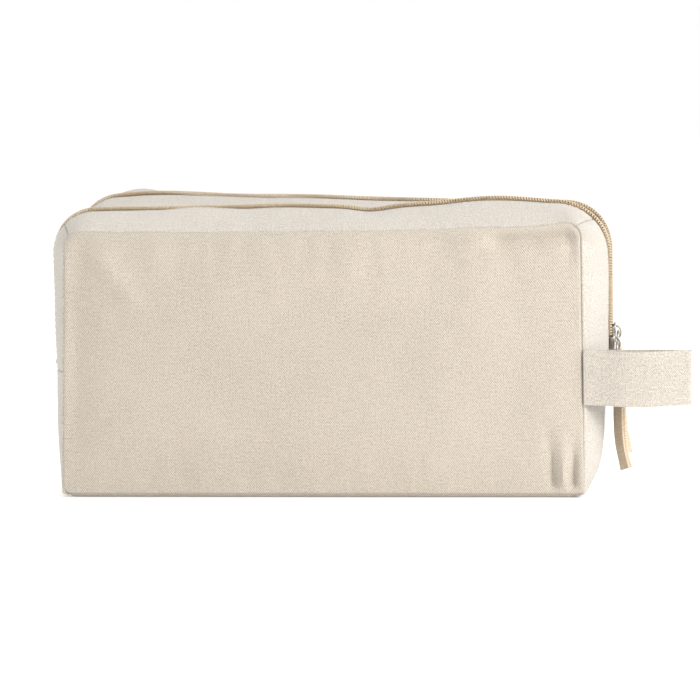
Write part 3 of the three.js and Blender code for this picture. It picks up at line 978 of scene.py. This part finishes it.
def bind_seams(side_name, side):
    """Tape over the raw seam edges inside: round the ends and top, and along the foot."""
    outer, inner = HALF_DEPTH - 3.4, HALF_DEPTH - 10.5
    ys = spread(inner, outer, 1.2)
    if side < 0:
        ys = mirrored(ys)
    down = corner_rows(0, station_at(5), 3.0)
    rows = [(s, 0) for s in mirrored(down[1:]) + down]

    def padded(y):
        return 0.25 * smooth(2.4, 0, abs(abs(y) - (outer + inner) / 2))

    tape = bag_cloth(side_name + "_binding", rows, [(y, BINDING_DEPTH) for y in ys], BINDING_CLOTH,
                     lift=lambda s, y: -padded(y))
    covered = [f"{side_name}_binding_{part}" for part in ("top", "left", "right")]
    dress(tape, "binding_tape", blend=side_name + "_cover", stands_for=covered)
    foot_tape = cloth(side_name + "_binding_foot", spread(-HALF_LENGTH + 5, HALF_LENGTH - 5, 4), ys,
                      lambda x, y: Vector((x, y, BINDING_HEIGHT + padded(y))), BINDING_CLOTH)
    dress(foot_tape, "binding_tape", stands_for=(side_name + "_binding_bottom",))


# ---- Zips ----
TAPE_TOP = -1.15  # the tapes' face below the canvas's face, beside the coil
TAPE_UNDER = -1.75  # and under the folded canvas edge
TAPE_EDGE = 10.6
TAPE_CLOTH = 0.5
COIL_REACH = 2.45  # from the centre line to the outside of one half of the coil
COIL_LAP = 0.34  # how far each half reaches past the centre line
COIL_RISE = 0.78
COIL_START = 3.2  # height of the coil's ends above the zip's foot
FILAMENT = 0.58
PROUD = 0.8  # how much higher the zip stands where the top arches it
STOP_START = 2.4  # height of the stops above the zip's foot
STOP_LENGTH = 2.2
STOP_THICKNESS = 2.4
ZIP_SAMPLES = 1500


class ZipLine:
    """A zip's centre line, from its foot at the left end over the top to its foot at the right end."""

    def __init__(self, y):
        self.y = y
        end = station_at(ZIP_FOOT - 1)
        self.stations = [mix(-end, end, i / ZIP_SAMPLES) for i in range(ZIP_SAMPLES + 1)]
        self.frames = [on_bag(s, y) for s in self.stations]
        self.run = [0.0]
        for before, after in zip(self.frames, self.frames[1:]):
            self.run.append(self.run[-1] + (after[0] - before[0]).length)
        self.length = self.run[-1]
        self.slider = self.distance_at(1, SLIDER_Z)

    def distance_at(self, way, height):
        """The distance along the zip where its end passes a height."""
        order = range(len(self.frames)) if way < 0 else range(len(self.frames) - 1, -1, -1)
        for i in order:
            if self.frames[i][0].z >= height:
                return self.run[i]
        raise RuntimeError("the zip doesn't reach that height")

    def at(self, distance):
        """The station, point, forward, sideways and outward directions at a distance along the zip."""
        low, high = 0, len(self.run) - 1
        while high - low > 1:
            half = (low + high) // 2
            if self.run[half] <= distance:
                low = half
            else:
                high = half
        t = (distance - self.run[low]) / (self.run[high] - self.run[low])
        point = self.frames[low][0].lerp(self.frames[high][0], t)
        normal = self.frames[low][1].lerp(self.frames[high][1], t).normalized()
        forward = (self.frames[high][0] - self.frames[low][0]).normalized()
        sideways = Vector((0, 1, 0))
        sideways = (sideways - normal * sideways.dot(normal)).normalized()
        return mix(self.stations[low], self.stations[high], t), point, forward, sideways, normal

    def proud(self, station):
        """How far the zip stands up out of the canvas, clear of the slider's straight run."""
        return PROUD * smooth(1.95, 1.4, abs(station))

    def parted(self, distance):
        """How far each half stands from the centre line below the slider, where the zip is open."""
        return 0.9 * smooth(self.slider - 3, self.slider + 3, distance)


def zip_tape(name, line, way):
    """One tape, from beside the coil to its edge under the canvas. way is the side of the zip it lies on."""
    distances = spread(0.4, line.length - 0.4, 2.0)
    offsets = joined(spread(0.5, 3.4, 0.7), spread(3.4, 4.8, 0.45), spread(4.8, TAPE_EDGE, 1.2))
    if way < 0:
        offsets = mirrored(offsets)

    def place(distance, offset):
        height = mix(TAPE_TOP, TAPE_UNDER, smooth(3.2, 4.6, abs(offset)))
        part = way * line.parted(distance) * smooth(4.6, 1.0, abs(offset))
        station = line.at(distance)[0]
        height += line.proud(station) * smooth(4.2, 2.6, abs(offset))
        return on_bag(station, line.y + offset + part, height)[0]

    return cloth(name, distances, offsets, place, TAPE_CLOTH)


def zip_coil(name, line, way):
    """One half of the coil: a flattened spiral whose loops pass between the other half's."""
    pitch = sizes().coil_pitch / MM
    steps = 10
    start = line.distance_at(-1, ZIP_FOOT + COIL_START)
    end = line.distance_at(1, ZIP_FOOT + COIL_START)
    turns = int((end - start) / pitch)
    shift = 0.5 if way > 0 else 0.0
    middle, half = (COIL_REACH - COIL_LAP) / 2, (COIL_REACH + COIL_LAP) / 2
    base = TAPE_TOP + COIL_RISE + FILAMENT / 2
    points = []
    for i in range(turns * steps + 1):
        distance = start + (i / steps + shift) * pitch
        station, point, _, sideways, normal = line.at(min(distance, line.length))
        angle = 2 * math.pi * i / steps
        across = middle - half * math.cos(angle) + line.parted(distance)
        height = base + line.proud(station) + COIL_RISE * math.sin(angle)
        points.append(point + sideways * way * across + normal * height)
    return thread(name, [(points, False)], FILAMENT, 0)


def crimp(name, frame, aside, width):
    """A small pressed metal stop bent round the coil, with soft edges, beside the zip's centre line."""
    _, point, forward, sideways, normal = frame
    turn = Matrix((forward, sideways, normal)).transposed().to_4x4()
    turn.translation = point + sideways * aside + normal * 0.05
    shape = Matrix.Diagonal((STOP_LENGTH, width, STOP_THICKNESS, 1))
    bm = bmesh.new()
    bmesh.ops.create_cube(bm, size=1, matrix=turn @ shape)
    bmesh.ops.bevel(bm, geom=bm.edges[:], offset=0.42, offset_type="OFFSET", segments=3, affect="EDGES",
                    profile=0.5, material=-1)
    return settle_mesh(new_piece(name, bm), 60)


def set_zip(side_name, side):
    """A whole zip: two tapes, two halves of coil and its stops."""
    line = ZipLine(side * ZIP_Y)
    prefix = side_name + "_zip_"
    top, bottom = (line.at(line.distance_at(way, ZIP_FOOT + STOP_START)) for way in (1, -1))
    for half, way in (("inner", -side), ("outer", side)):
        blend = side_name + "_cover" if half == "outer" else None
        for kind, make, made_name in (("tape", zip_tape, "_woven_tape"), ("coil", zip_coil, "_spiral")):
            piece = make(prefix + half + made_name, line, way)
            feet = [f"{prefix}{kind}_foot_{end}" for end in ("right", "left")]
            dress(piece, "zip_" + kind, blend=blend, stands_for=[f"{prefix}{half}_{kind}"] + feet)
        stop = crimp(prefix + "top_clip_" + half, top, way * 2.2, 2.3)
        dress(stop, "zip_metal", stands_for=(prefix + "top_stop_" + half,))
    stop = crimp(prefix + "bottom_clip", bottom, 0, 5.4)
    dress(stop, "zip_metal", stands_for=(prefix + "bottom_stop",))


# ---- Sliders, rings and tabs ----
SLIDER_LENGTH = 10.4
FLANGE_REACH = 3.22  # from the zip's centre line to the middle of a flange
FLANGE_SLOPE = 0.115  # how far the flanges spread toward the slider's shoulders
BRIDGE_LENGTH = 3.3  # half of it
RING_CORNER = 1.6


def slider_plate(bm, place, top, bottom, thickness):
    """A slider's plate, wide at the shoulders and narrow at the tail, with rounded edges. place maps its
    own along, across and height to the bag."""
    made = bmesh.ops.create_circle(bm, cap_ends=True, segments=40, radius=1)
    for vert in made["verts"]:
        angle = math.atan2(vert.co.y, vert.co.x)
        along = math.copysign(abs(math.cos(angle)) ** 0.55, math.cos(angle))
        across = math.copysign(abs(math.sin(angle)) ** 0.6, math.sin(angle))
        width = mix(bottom, top, smooth(-0.8, 0.75, along))
        vert.co = Vector((along * SLIDER_LENGTH / 2, across * width / 2, 0))
    faces = list({face for vert in made["verts"] for face in vert.link_faces})
    raised = bmesh.ops.extrude_face_region(bm, geom=faces)
    lifted = [item for item in raised["geom"] if isinstance(item, bmesh.types.BMVert)]
    bmesh.ops.translate(bm, vec=(0, 0, thickness), verts=lifted)
    verts = set(made["verts"]) | set(lifted)
    edges = [e for e in bm.edges if e.verts[0] in verts]
    rims = [e for e in edges if len({v.co.z > thickness / 2 for v in e.verts}) == 1]
    bevelled = bmesh.ops.bevel(bm, geom=rims, offset=min(0.38, thickness * 0.4), offset_type="OFFSET",
                               segments=3, affect="EDGES", profile=0.5, material=-1)
    verts = {v for v in verts if v.is_valid} | set(bevelled["verts"])
    for vert in verts:
        vert.co = place(vert.co)


def bar(name, path, width, thickness, place):
    """A flat metal strip along a path of along and height values, with rounded edges."""
    count = len(path)
    bm = bmesh.new()
    bmesh.ops.create_grid(bm, x_segments=count - 1, y_segments=2, size=1)
    for vert in bm.verts:
        i = round((vert.co.x + 1) / 2 * (count - 1))
        vert.co = place(Vector((path[i][0], vert.co.y * width / 2, path[i][1])))
    piece = new_piece(name, bm)
    solid = piece.modifiers.new("thickness", "SOLIDIFY")
    solid.thickness = thickness * MM
    solid.offset = 0
    soften(piece, thickness * 0.3)
    return settle_mesh(piece, 45)


def soften(piece, width, segments=3):
    """Rounds a piece's sharp edges."""
    edge = piece.modifiers.new("edge", "BEVEL")
    edge.width = width * MM
    edge.segments = segments
    edge.limit_method = "ANGLE"
    edge.angle_limit = math.radians(60)


def fit_slider(side_name, side):
    """The slider: two plates round the zip, the flanges and post between them, and the ring's bridge."""
    point, _ = on_bag(station_at(SLIDER_Z), side * ZIP_Y)
    origin = Vector((point.x, side * ZIP_Y, SLIDER_Z))
    top_height = TAPE_TOP + 2 * COIL_RISE + FILAMENT + 0.25
    plate_top = top_height + 0.9
    prefix = side_name + "_slider_"

    def from_height(height, way=0):
        def place(co):
            across = co.y + way * (FLANGE_REACH + FLANGE_SLOPE * co.x)
            return origin + Vector((co.z + height, across, co.x))

        return place

    bm = bmesh.new()
    slider_plate(bm, from_height(top_height), 8.4, 5.8, 1.0)
    slider_plate(bm, from_height(TAPE_TOP - TAPE_CLOTH - 1.2), 8.0, 5.6, 0.9)
    bmesh.ops.recalc_face_normals(bm, faces=bm.faces)
    body = settle_mesh(new_piece(prefix + "body", bm), 45)
    flange = [(along, 0) for along in spread(-4.2, 3.4, 0.95)]
    left = bar(prefix + "flange_left", flange, 0.8, 1.6, from_height(top_height - 0.5, 1))
    right = bar(prefix + "flange_right", flange, 0.8, 1.6, from_height(top_height - 0.5, -1))
    upright = [(along, 0) for along in (3.0, 3.7, 4.4)]
    post = bar(prefix + "post", upright, 1.3, 3.9, from_height(TAPE_TOP + 0.6))
    reach = RING_HIGH.x - origin.x + 1.1 - plate_top
    arch = []
    for angle in spread(0, math.pi, math.pi / 18):
        height = plate_top - 0.35 + reach * math.sin(angle) ** 0.7
        arch.append((-BRIDGE_LENGTH * math.cos(angle), height))
    bridge = bar(prefix + "bridge", arch, 2.2, 0.85, from_height(0))
    for piece in (body, left, right, post, bridge):
        dress(piece, "zip_metal", side_name + "_slider")
    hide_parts(side_name + "_slider")


def fit_ring(side_name):
    """The pull ring: round wire bent to a rounded oblong."""
    wire = sizes().wire / MM
    low, high = node_box(side_name + "_pull_ring")
    x = (low.x + high.x) / 2
    centre = Vector((x, (low.y + high.y) / 2, (low.z + high.z) / 2))
    straight_y = (high.y - low.y - wire) / 2 - RING_CORNER
    straight_z = (high.z - low.z - wire) / 2 - RING_CORNER
    points = []
    for turn in range(4):
        out_y = 1 if turn in (0, 3) else -1
        out_z = 1 if turn in (0, 1) else -1
        for step in range(7):
            angle = math.pi / 2 * (turn + step / 6)
            y = out_y * straight_y + RING_CORNER * math.cos(angle)
            z = out_z * straight_z + RING_CORNER * math.sin(angle)
            points.append(centre + Vector((0, y, z)))
    ring = thread(side_name + "_ring_wire", [(points, True)], wire, 3)
    dress(ring, "zip_metal", side_name + "_pull_ring", stands_for=(side_name + "_pull_ring",))


def curve_through(points, count):
    """Evenly numbered points on a smooth curve through the given ones."""
    line = []
    padded = [points[0] * 2 - points[1], *points, points[-1] * 2 - points[-2]]
    for i in range(count + 1):
        place = min(i / count * (len(points) - 1), len(points) - 1 - 1e-6)
        k, t = int(place), place % 1
        a, b, c, d = padded[k:k + 4]
        line.append(0.5 * (2 * b + (c - a) * t + (2 * a - 5 * b + 4 * c - d) * t**2
                           + (3 * b - a - 3 * c + d) * t**3))
    return line


TAB_LAYER = 1.15  # a folded strip of thinner canvas
TAB_BEND = 1.4  # radius of the strip where it passes through the ring
TAB_BEND_LINES = 10
TAB_GAP = 0.62  # from the middle between the two legs to each leg
TAB_TWIST = math.radians(-32)
TAB_NARROWING = 0.82
# The hanging tab's middle line: how far out it stands, at shares of the way down.
TAB_HANG = ((0.3, 0.0), (1.3, 0.13), (1.1, 0.35), (0.9, 0.55), (1.7, 0.78), (4.2, 1.0))


def sew_tab(side_name, side):
    """The pull tab: a canvas strip passed through the ring, folded and stitched, twisting as it hangs."""
    low, high = node_box(side_name + "_pull_tab")
    x, y = (low.x + high.x) / 2, (low.y + high.y) / 2
    half_width = (high.y - low.y) / 2
    grip = node_box(side_name + "_pull_ring")[0].z + 0.7
    drop = grip - (low.z + 0.5)
    spine = curve_through([Vector((x + out, y, grip - share * drop)) for out, share in TAB_HANG], 44)
    count = len(spine) - 1

    def frame_at(i):
        before, after = spine[max(i - 1, 0)], spine[min(i + 1, count)]
        down = (after - before).normalized()
        turn = -side * TAB_TWIST * smooth(0.02, 0.45, i / count)
        width = Vector((math.sin(turn), math.cos(turn), 0))
        width = (width - down * width.dot(down)).normalized()
        face = width.cross(down).normalized()
        return spine[i], width, face if face.x >= 0 else -face

    def on_leg(leg, i, across):
        """A point of a leg, at a place across it in millimetres."""
        point, width, face = frame_at(i)
        gap = mix(TAB_BEND, TAB_LAYER / 2 + TAB_GAP, smooth(0, 0.10, i / count))
        return point + width * across + face * (leg * gap)

    def place(row, v):
        leg, i = row
        if leg == 0:
            angle = math.pi * i / TAB_BEND_LINES
            return Vector((x + 0.3 + TAB_BEND * math.cos(angle), y + v * half_width,
                           grip + 0.35 + TAB_BEND * math.sin(angle)))
        narrowing = mix(1, TAB_NARROWING, smooth(0, 0.3, i / count))
        slant = Vector((0, 0, -0.9 * v * smooth(0.9, 1, i / count)))
        return on_leg(leg, i, v * half_width * narrowing) + slant

    rows = [(1, i) for i in range(count, -1, -1)]
    rows += [(0, i) for i in range(1, TAB_BEND_LINES)]
    rows += [(-1, i) for i in range(count + 1)]
    piece = cloth(side_name + "_tab_strip", rows, spread(1, -1, 0.125), place, TAB_LAYER)
    soften(piece, 0.3, 2)
    piece = settle_mesh(piece)
    dress(piece, "canvas_tab", side_name + "_pull_tab", stands_for=(side_name + "_pull_tab",))
    sewn_rows = []
    for leg in (1, -1):
        for edge in (-0.72, 0.72):
            for i in range(5, count - 1):
                point, _, face = frame_at(i)
                spot = on_leg(leg, i, edge * half_width * TAB_NARROWING)
                sewn_rows.append((spot, spine[min(i + 1, count)] - point, face * leg))
    sewn = stitches(side_name + "_tab_stitching", sewn_rows[::2], 1.7, 0.36)
    dress(sewn, "tab_thread", side_name + "_pull_tab", slot="canvas_tab")
    side_name + "_ring_wire"


# ---- Carry loop ----
STRAP = 1.35  # the folded strap's thickness
LOOP_BOW = 3.7  # how far each leg bows out from the other
LOOP_ROOT = 0.9  # from the middle to each leg, at the root
LOOP_EDGE = 2.2  # from the strap's edge to its stitches
FOLD_SHARE = 0.035  # share of each leg taken up by the fold at the loop's end


def loop_place(t, z):
    """The strap's middle: t is -1 at the front leg's root, 0 at the fold and 1 at the rear leg's root."""
    start, end = LOOP_LOW.x + 0.2, LOOP_HIGH.x - 0.9
    run = 1 - abs(t)
    bow = LOOP_ROOT + LOOP_BOW * math.sin(math.pi * run) ** 1.5
    y = (LOOP_LOW.y + LOOP_HIGH.y) / 2 + sign(t) * bow * math.sqrt(smooth(0, FOLD_SHARE, abs(t)))
    sag = 0.6 * math.sin(math.pi * run) * (1 if t < 0 else 0.4)
    return Vector((mix(start, end, run ** 0.98), y, z - sag))


def sew_loop():
    """The carry loop: a folded canvas strap with both ends in the front seam and stitches on its edges."""
    half = joined(spread(0, FOLD_SHARE, 0.005), spread(FOLD_SHARE, 1, 0.03))
    rows = mirrored(half[1:]) + half
    low, high = LOOP_LOW.z, LOOP_HIGH.z

    def place(t, z):
        crumple = 0.35 * noise.noise(Vector((t * 3, z / 9, 4.4))) * smooth(0, 0.2, abs(t))
        return loop_place(t, z) + Vector((0, crumple, 0))

    piece = cloth("carry_loop_strap", rows, spread(low, high, 1.4), place, STRAP)
    soften(piece, 0.45)
    piece = settle_mesh(piece)
    dress(piece, "canvas_strap", "carry_loop", stands_for=("carry_loop",))
    places = []
    for z in (low + LOOP_EDGE, high - LOOP_EDGE):
        for t in spread(-0.88, 0.88, 0.032):
            if abs(t) > 0.05:
                here, after = place(t, z), place(t + 0.01, z)
                along = (after - here).normalized()
                outward = along.cross(Vector((0, 0, 1))).normalized()
                places.append((here + outward * 0.02, along, outward))
    sewn = stitches("carry_loop_stitching", places, 2.2, 0.34)
    dress(sewn, "thread", "carry_loop", slot="canvas_strap")


# ---- Stitching on the canvas ----
SEAM_CLEAR = 0.09  # in stations, from a corner seam to the first stitch


def stitch_canvas(side_name, side):
    """Rows of stitches beside a zip, on the strips on both sides of it."""
    cover = side_name + "_cover"
    top = CORNER_SEAM - SEAM_CLEAR
    side_row = (CORNER_SEAM + SEAM_CLEAR, station_at(ZIP_FOOT + 3))

    def row(name, y, first, last, **how):
        made = stitch_line(name, lambda s: on_bag(s, y, 0.1 + strip_lift(s, y)), first, last)
        dress(made, "thread", slot="canvas_pale", **how)

    outer = side * (ZIP_Y + HEM_EDGE + 1.9)
    row(side_name + "_top_stitching", outer, -top, top, body=cover)
    row(side_name + "_left_stitching", outer, *mirrored(side_row), blend=cover)
    row(side_name + "_right_stitching", outer, *side_row, blend=cover)
    inner = side * (ZIP_Y - HEM_EDGE - 1.9)
    row(side_name + "_middle_stitching", inner, -top, top)
    row(side_name + "_middle_left_stitching", inner, *mirrored(side_row))
    row(side_name + "_middle_right_stitching", inner, *side_row)


# ---- Studio ----
class Camera:
    """Where the bag is seen from: angles in degrees, lengths in metres."""

    azimuth = 7.0
    elevation = 6.5
    roll = -1.146
    distance = 1.2
    lens = 124.4
    sensor = 36.0
    aim = (0.016, -HALF_DEPTH * MM, 0.0744)


def aim_camera():
    turn, lift, roll = (math.radians(a) for a in (Camera.azimuth, Camera.elevation, Camera.roll))
    forward = Vector((-math.sin(turn) * math.cos(lift), math.cos(turn) * math.cos(lift), -math.sin(lift)))
    right = Vector((math.cos(turn), math.sin(turn), 0))
    up = right.cross(forward)
    level = right * math.cos(roll) + up * math.sin(roll)
    upright = up * math.cos(roll) - right * math.sin(roll)
    data = bpy.data.cameras.new("camera")
    data.sensor_width = Camera.sensor
    data.lens = Camera.lens
    data.clip_end = 20
    camera = bpy.data.objects.new("camera", data)
    place = Matrix((level, upright, -forward)).transposed().to_4x4()
    place.translation = Vector(Camera.aim) - forward * Camera.distance
    camera.matrix_world = place
    bpy.context.scene.collection.objects.link(camera)
    bpy.context.scene.camera = camera


def soft_light(name, position, size, watts, colour=(1, 1, 1)):
    """A square lamp that points at the bag."""
    lamp = bpy.data.lights.new(name, "AREA")
    lamp.shape = "RECTANGLE"
    lamp.size, lamp.size_y = size, size
    lamp.energy = watts
    lamp.color = colour
    made = bpy.data.objects.new(name, lamp)
    made.location = position
    aimed = Vector((0, 0, 0.06)) - Vector(position)
    made.rotation_euler = aimed.to_track_quat("-Z", "Y").to_euler()
    bpy.context.scene.collection.objects.link(made)


def light_studio():
    """The camera, a wide soft key light, a fill and the white floor and surroundings."""
    aim_camera()
    soft_light("key", (0.88, -0.66, 0.50), 0.45, 14, (1.0, 0.99, 0.97))
    soft_light("fill", (-1.25, -0.15, 0.35), 0.8, 6, (1.0, 0.97, 0.92))
    soft_light("top", (-0.1, 0.2, 1.6), 1.2, 4)

    world = bpy.data.worlds.new("studio")
    bpy.context.scene.world = world
    world.use_nodes = True
    surroundings = world.node_tree.nodes["Background"]
    surroundings.inputs["Color"].default_value = (1, 1, 1, 1)
    surroundings.inputs["Strength"].default_value = 1.0

    bm = bmesh.new()
    bmesh.ops.create_circle(bm, cap_ends=True, segments=64, radius=6000)
    floor = new_piece("floor", bm)
    floor.data.transform(Matrix.Translation((0, 0, CAD_BOX[0][2] - 0.0002)))
    paper = Finish("floor_paper", (0.86, 0.86, 0.86), 0.9)
    paper.shader.inputs["Specular IOR Level"].default_value = 0.1
    paper.shader.inputs["Emission Color"].default_value = (1, 1, 1, 1)
    paper.shader.inputs["Emission Strength"].default_value = 0.17
    grain = paper.noise(paper.scaled("Object", (0.4, 0.4, 0.4)), 1)
    floor.data.materials.append(paper.paint(paper.colour(grain, (0.85, 0.85, 0.85), (0.87, 0.87, 0.87))))
    bpy.context.scene.view_settings.view_transform = "Standard"


# ---- Operators ----
class BagOperator:
    """What the operators share: each runs its steps, which are a function and its values."""

    bl_options = {"REGISTER", "UNDO"}

    def execute(self, context):
        for make, *values in self.steps:
            make(*values)
        return {"FINISHED"}


class BAG_OT_studio(BagOperator, bpy.types.Operator):
    """Set the camera, the lights and the floor"""

    bl_idname = "bag.light_studio"
    bl_label = "Studio"
    steps = ((light_studio,),)


class BAG_OT_panels(BagOperator, bpy.types.Operator):
    """Sew the front and back panels"""

    bl_idname = "bag.sew_panels"
    bl_label = "Front and back panels"
    steps = ((sew_panel, "front_panel", -1, front_folds), (sew_panel, "rear_panel", 1, back_folds))


class BAG_OT_strips(BagOperator, bpy.types.Operator):
    """Sew the strips beside and between the zips"""

    bl_idname = "bag.sew_strips"
    bl_label = "Strips"
    steps = ((sew_strip, "front", -1), (sew_strip, "rear", 1), (sew_middle,))


class BAG_OT_ends(BagOperator, bpy.types.Operator):
    """Sew the lower ends and the base"""

    bl_idname = "bag.sew_ends"
    bl_label = "Ends and base"
    steps = ((sew_end, "left_end_panel", -1), (sew_end, "right_end_panel", 1), (sew_base,))


class BAG_OT_inside(BagOperator, bpy.types.Operator):
    """Sew the divider and bind the seams inside"""

    bl_idname = "bag.sew_inside"
    bl_label = "Divider and bindings"
    steps = ((sew_divider,), (bind_seams, "front", -1), (bind_seams, "rear", 1))


class BAG_OT_zips(BagOperator, bpy.types.Operator):
    """Set both zips into the canvas"""

    bl_idname = "bag.set_zips"
    bl_label = "Zips"
    steps = ((set_zip, "front", -1), (set_zip, "rear", 1))


class BAG_OT_sliders(BagOperator, bpy.types.Operator):
    """Fit the sliders and their pull rings"""

    bl_idname = "bag.fit_sliders"
    bl_label = "Sliders and rings"
    steps = ((fit_slider, "front", -1), (fit_ring, "front"), (fit_slider, "rear", 1), (fit_ring, "rear"))


class BAG_OT_tabs(BagOperator, bpy.types.Operator):
    """Sew the cloth pull tabs into the rings"""

    bl_idname = "bag.sew_tabs"
    bl_label = "Pull tabs"
    steps = ((sew_tab, "front", -1), (sew_tab, "rear", 1))


class BAG_OT_loop(BagOperator, bpy.types.Operator):
    """Sew the carry loop"""

    bl_idname = "bag.sew_loop"
    bl_label = "Carry loop"
    steps = ((sew_loop,),)


class BAG_OT_stitching(BagOperator, bpy.types.Operator):
    """Stitch the canvas beside the zips"""

    bl_idname = "bag.stitch_canvas"
    bl_label = "Stitching"
    steps = ((stitch_canvas, "front", -1), (stitch_canvas, "rear", 1))


OPERATORS = (BAG_OT_studio, BAG_OT_panels, BAG_OT_strips, BAG_OT_ends, BAG_OT_inside, BAG_OT_zips,
             BAG_OT_sliders, BAG_OT_tabs, BAG_OT_loop, BAG_OT_stitching)


class BAG_PT_panel(bpy.types.Panel):
    """The bag's sizes, colours and pieces"""

    bl_label = "Wash Bag"
    bl_space_type = "VIEW_3D"
    bl_region_type = "UI"
    bl_category = "Wash Bag"

    def draw(self, context):
        for group in (context.scene.bag_sizes, context.scene.bag_colours):
            for name in group.__annotations__:
                self.layout.prop(group, name)
        for operator in OPERATORS:
            self.layout.operator(operator.bl_idname)


CLASSES = (BAG_PG_colours, BAG_PG_sizes, *OPERATORS, BAG_PT_panel)


def register():
    for cls in CLASSES:
        bpy.utils.register_class(cls)
    bpy.types.Scene.bag_colours = bpy.props.PointerProperty(type=BAG_PG_colours)
    bpy.types.Scene.bag_sizes = bpy.props.PointerProperty(type=BAG_PG_sizes)


def unregister():
    del bpy.types.Scene.bag_sizes
    del bpy.types.Scene.bag_colours
    for cls in reversed(CLASSES):
        bpy.utils.unregister_class(cls)


def main():
    register()
    for operator in OPERATORS:
        group, name = operator.bl_idname.split(".")
        getattr(getattr(bpy.ops, group), name)()
    bpy.context.view_layer.update()


if __name__ == "__main__":
    main()
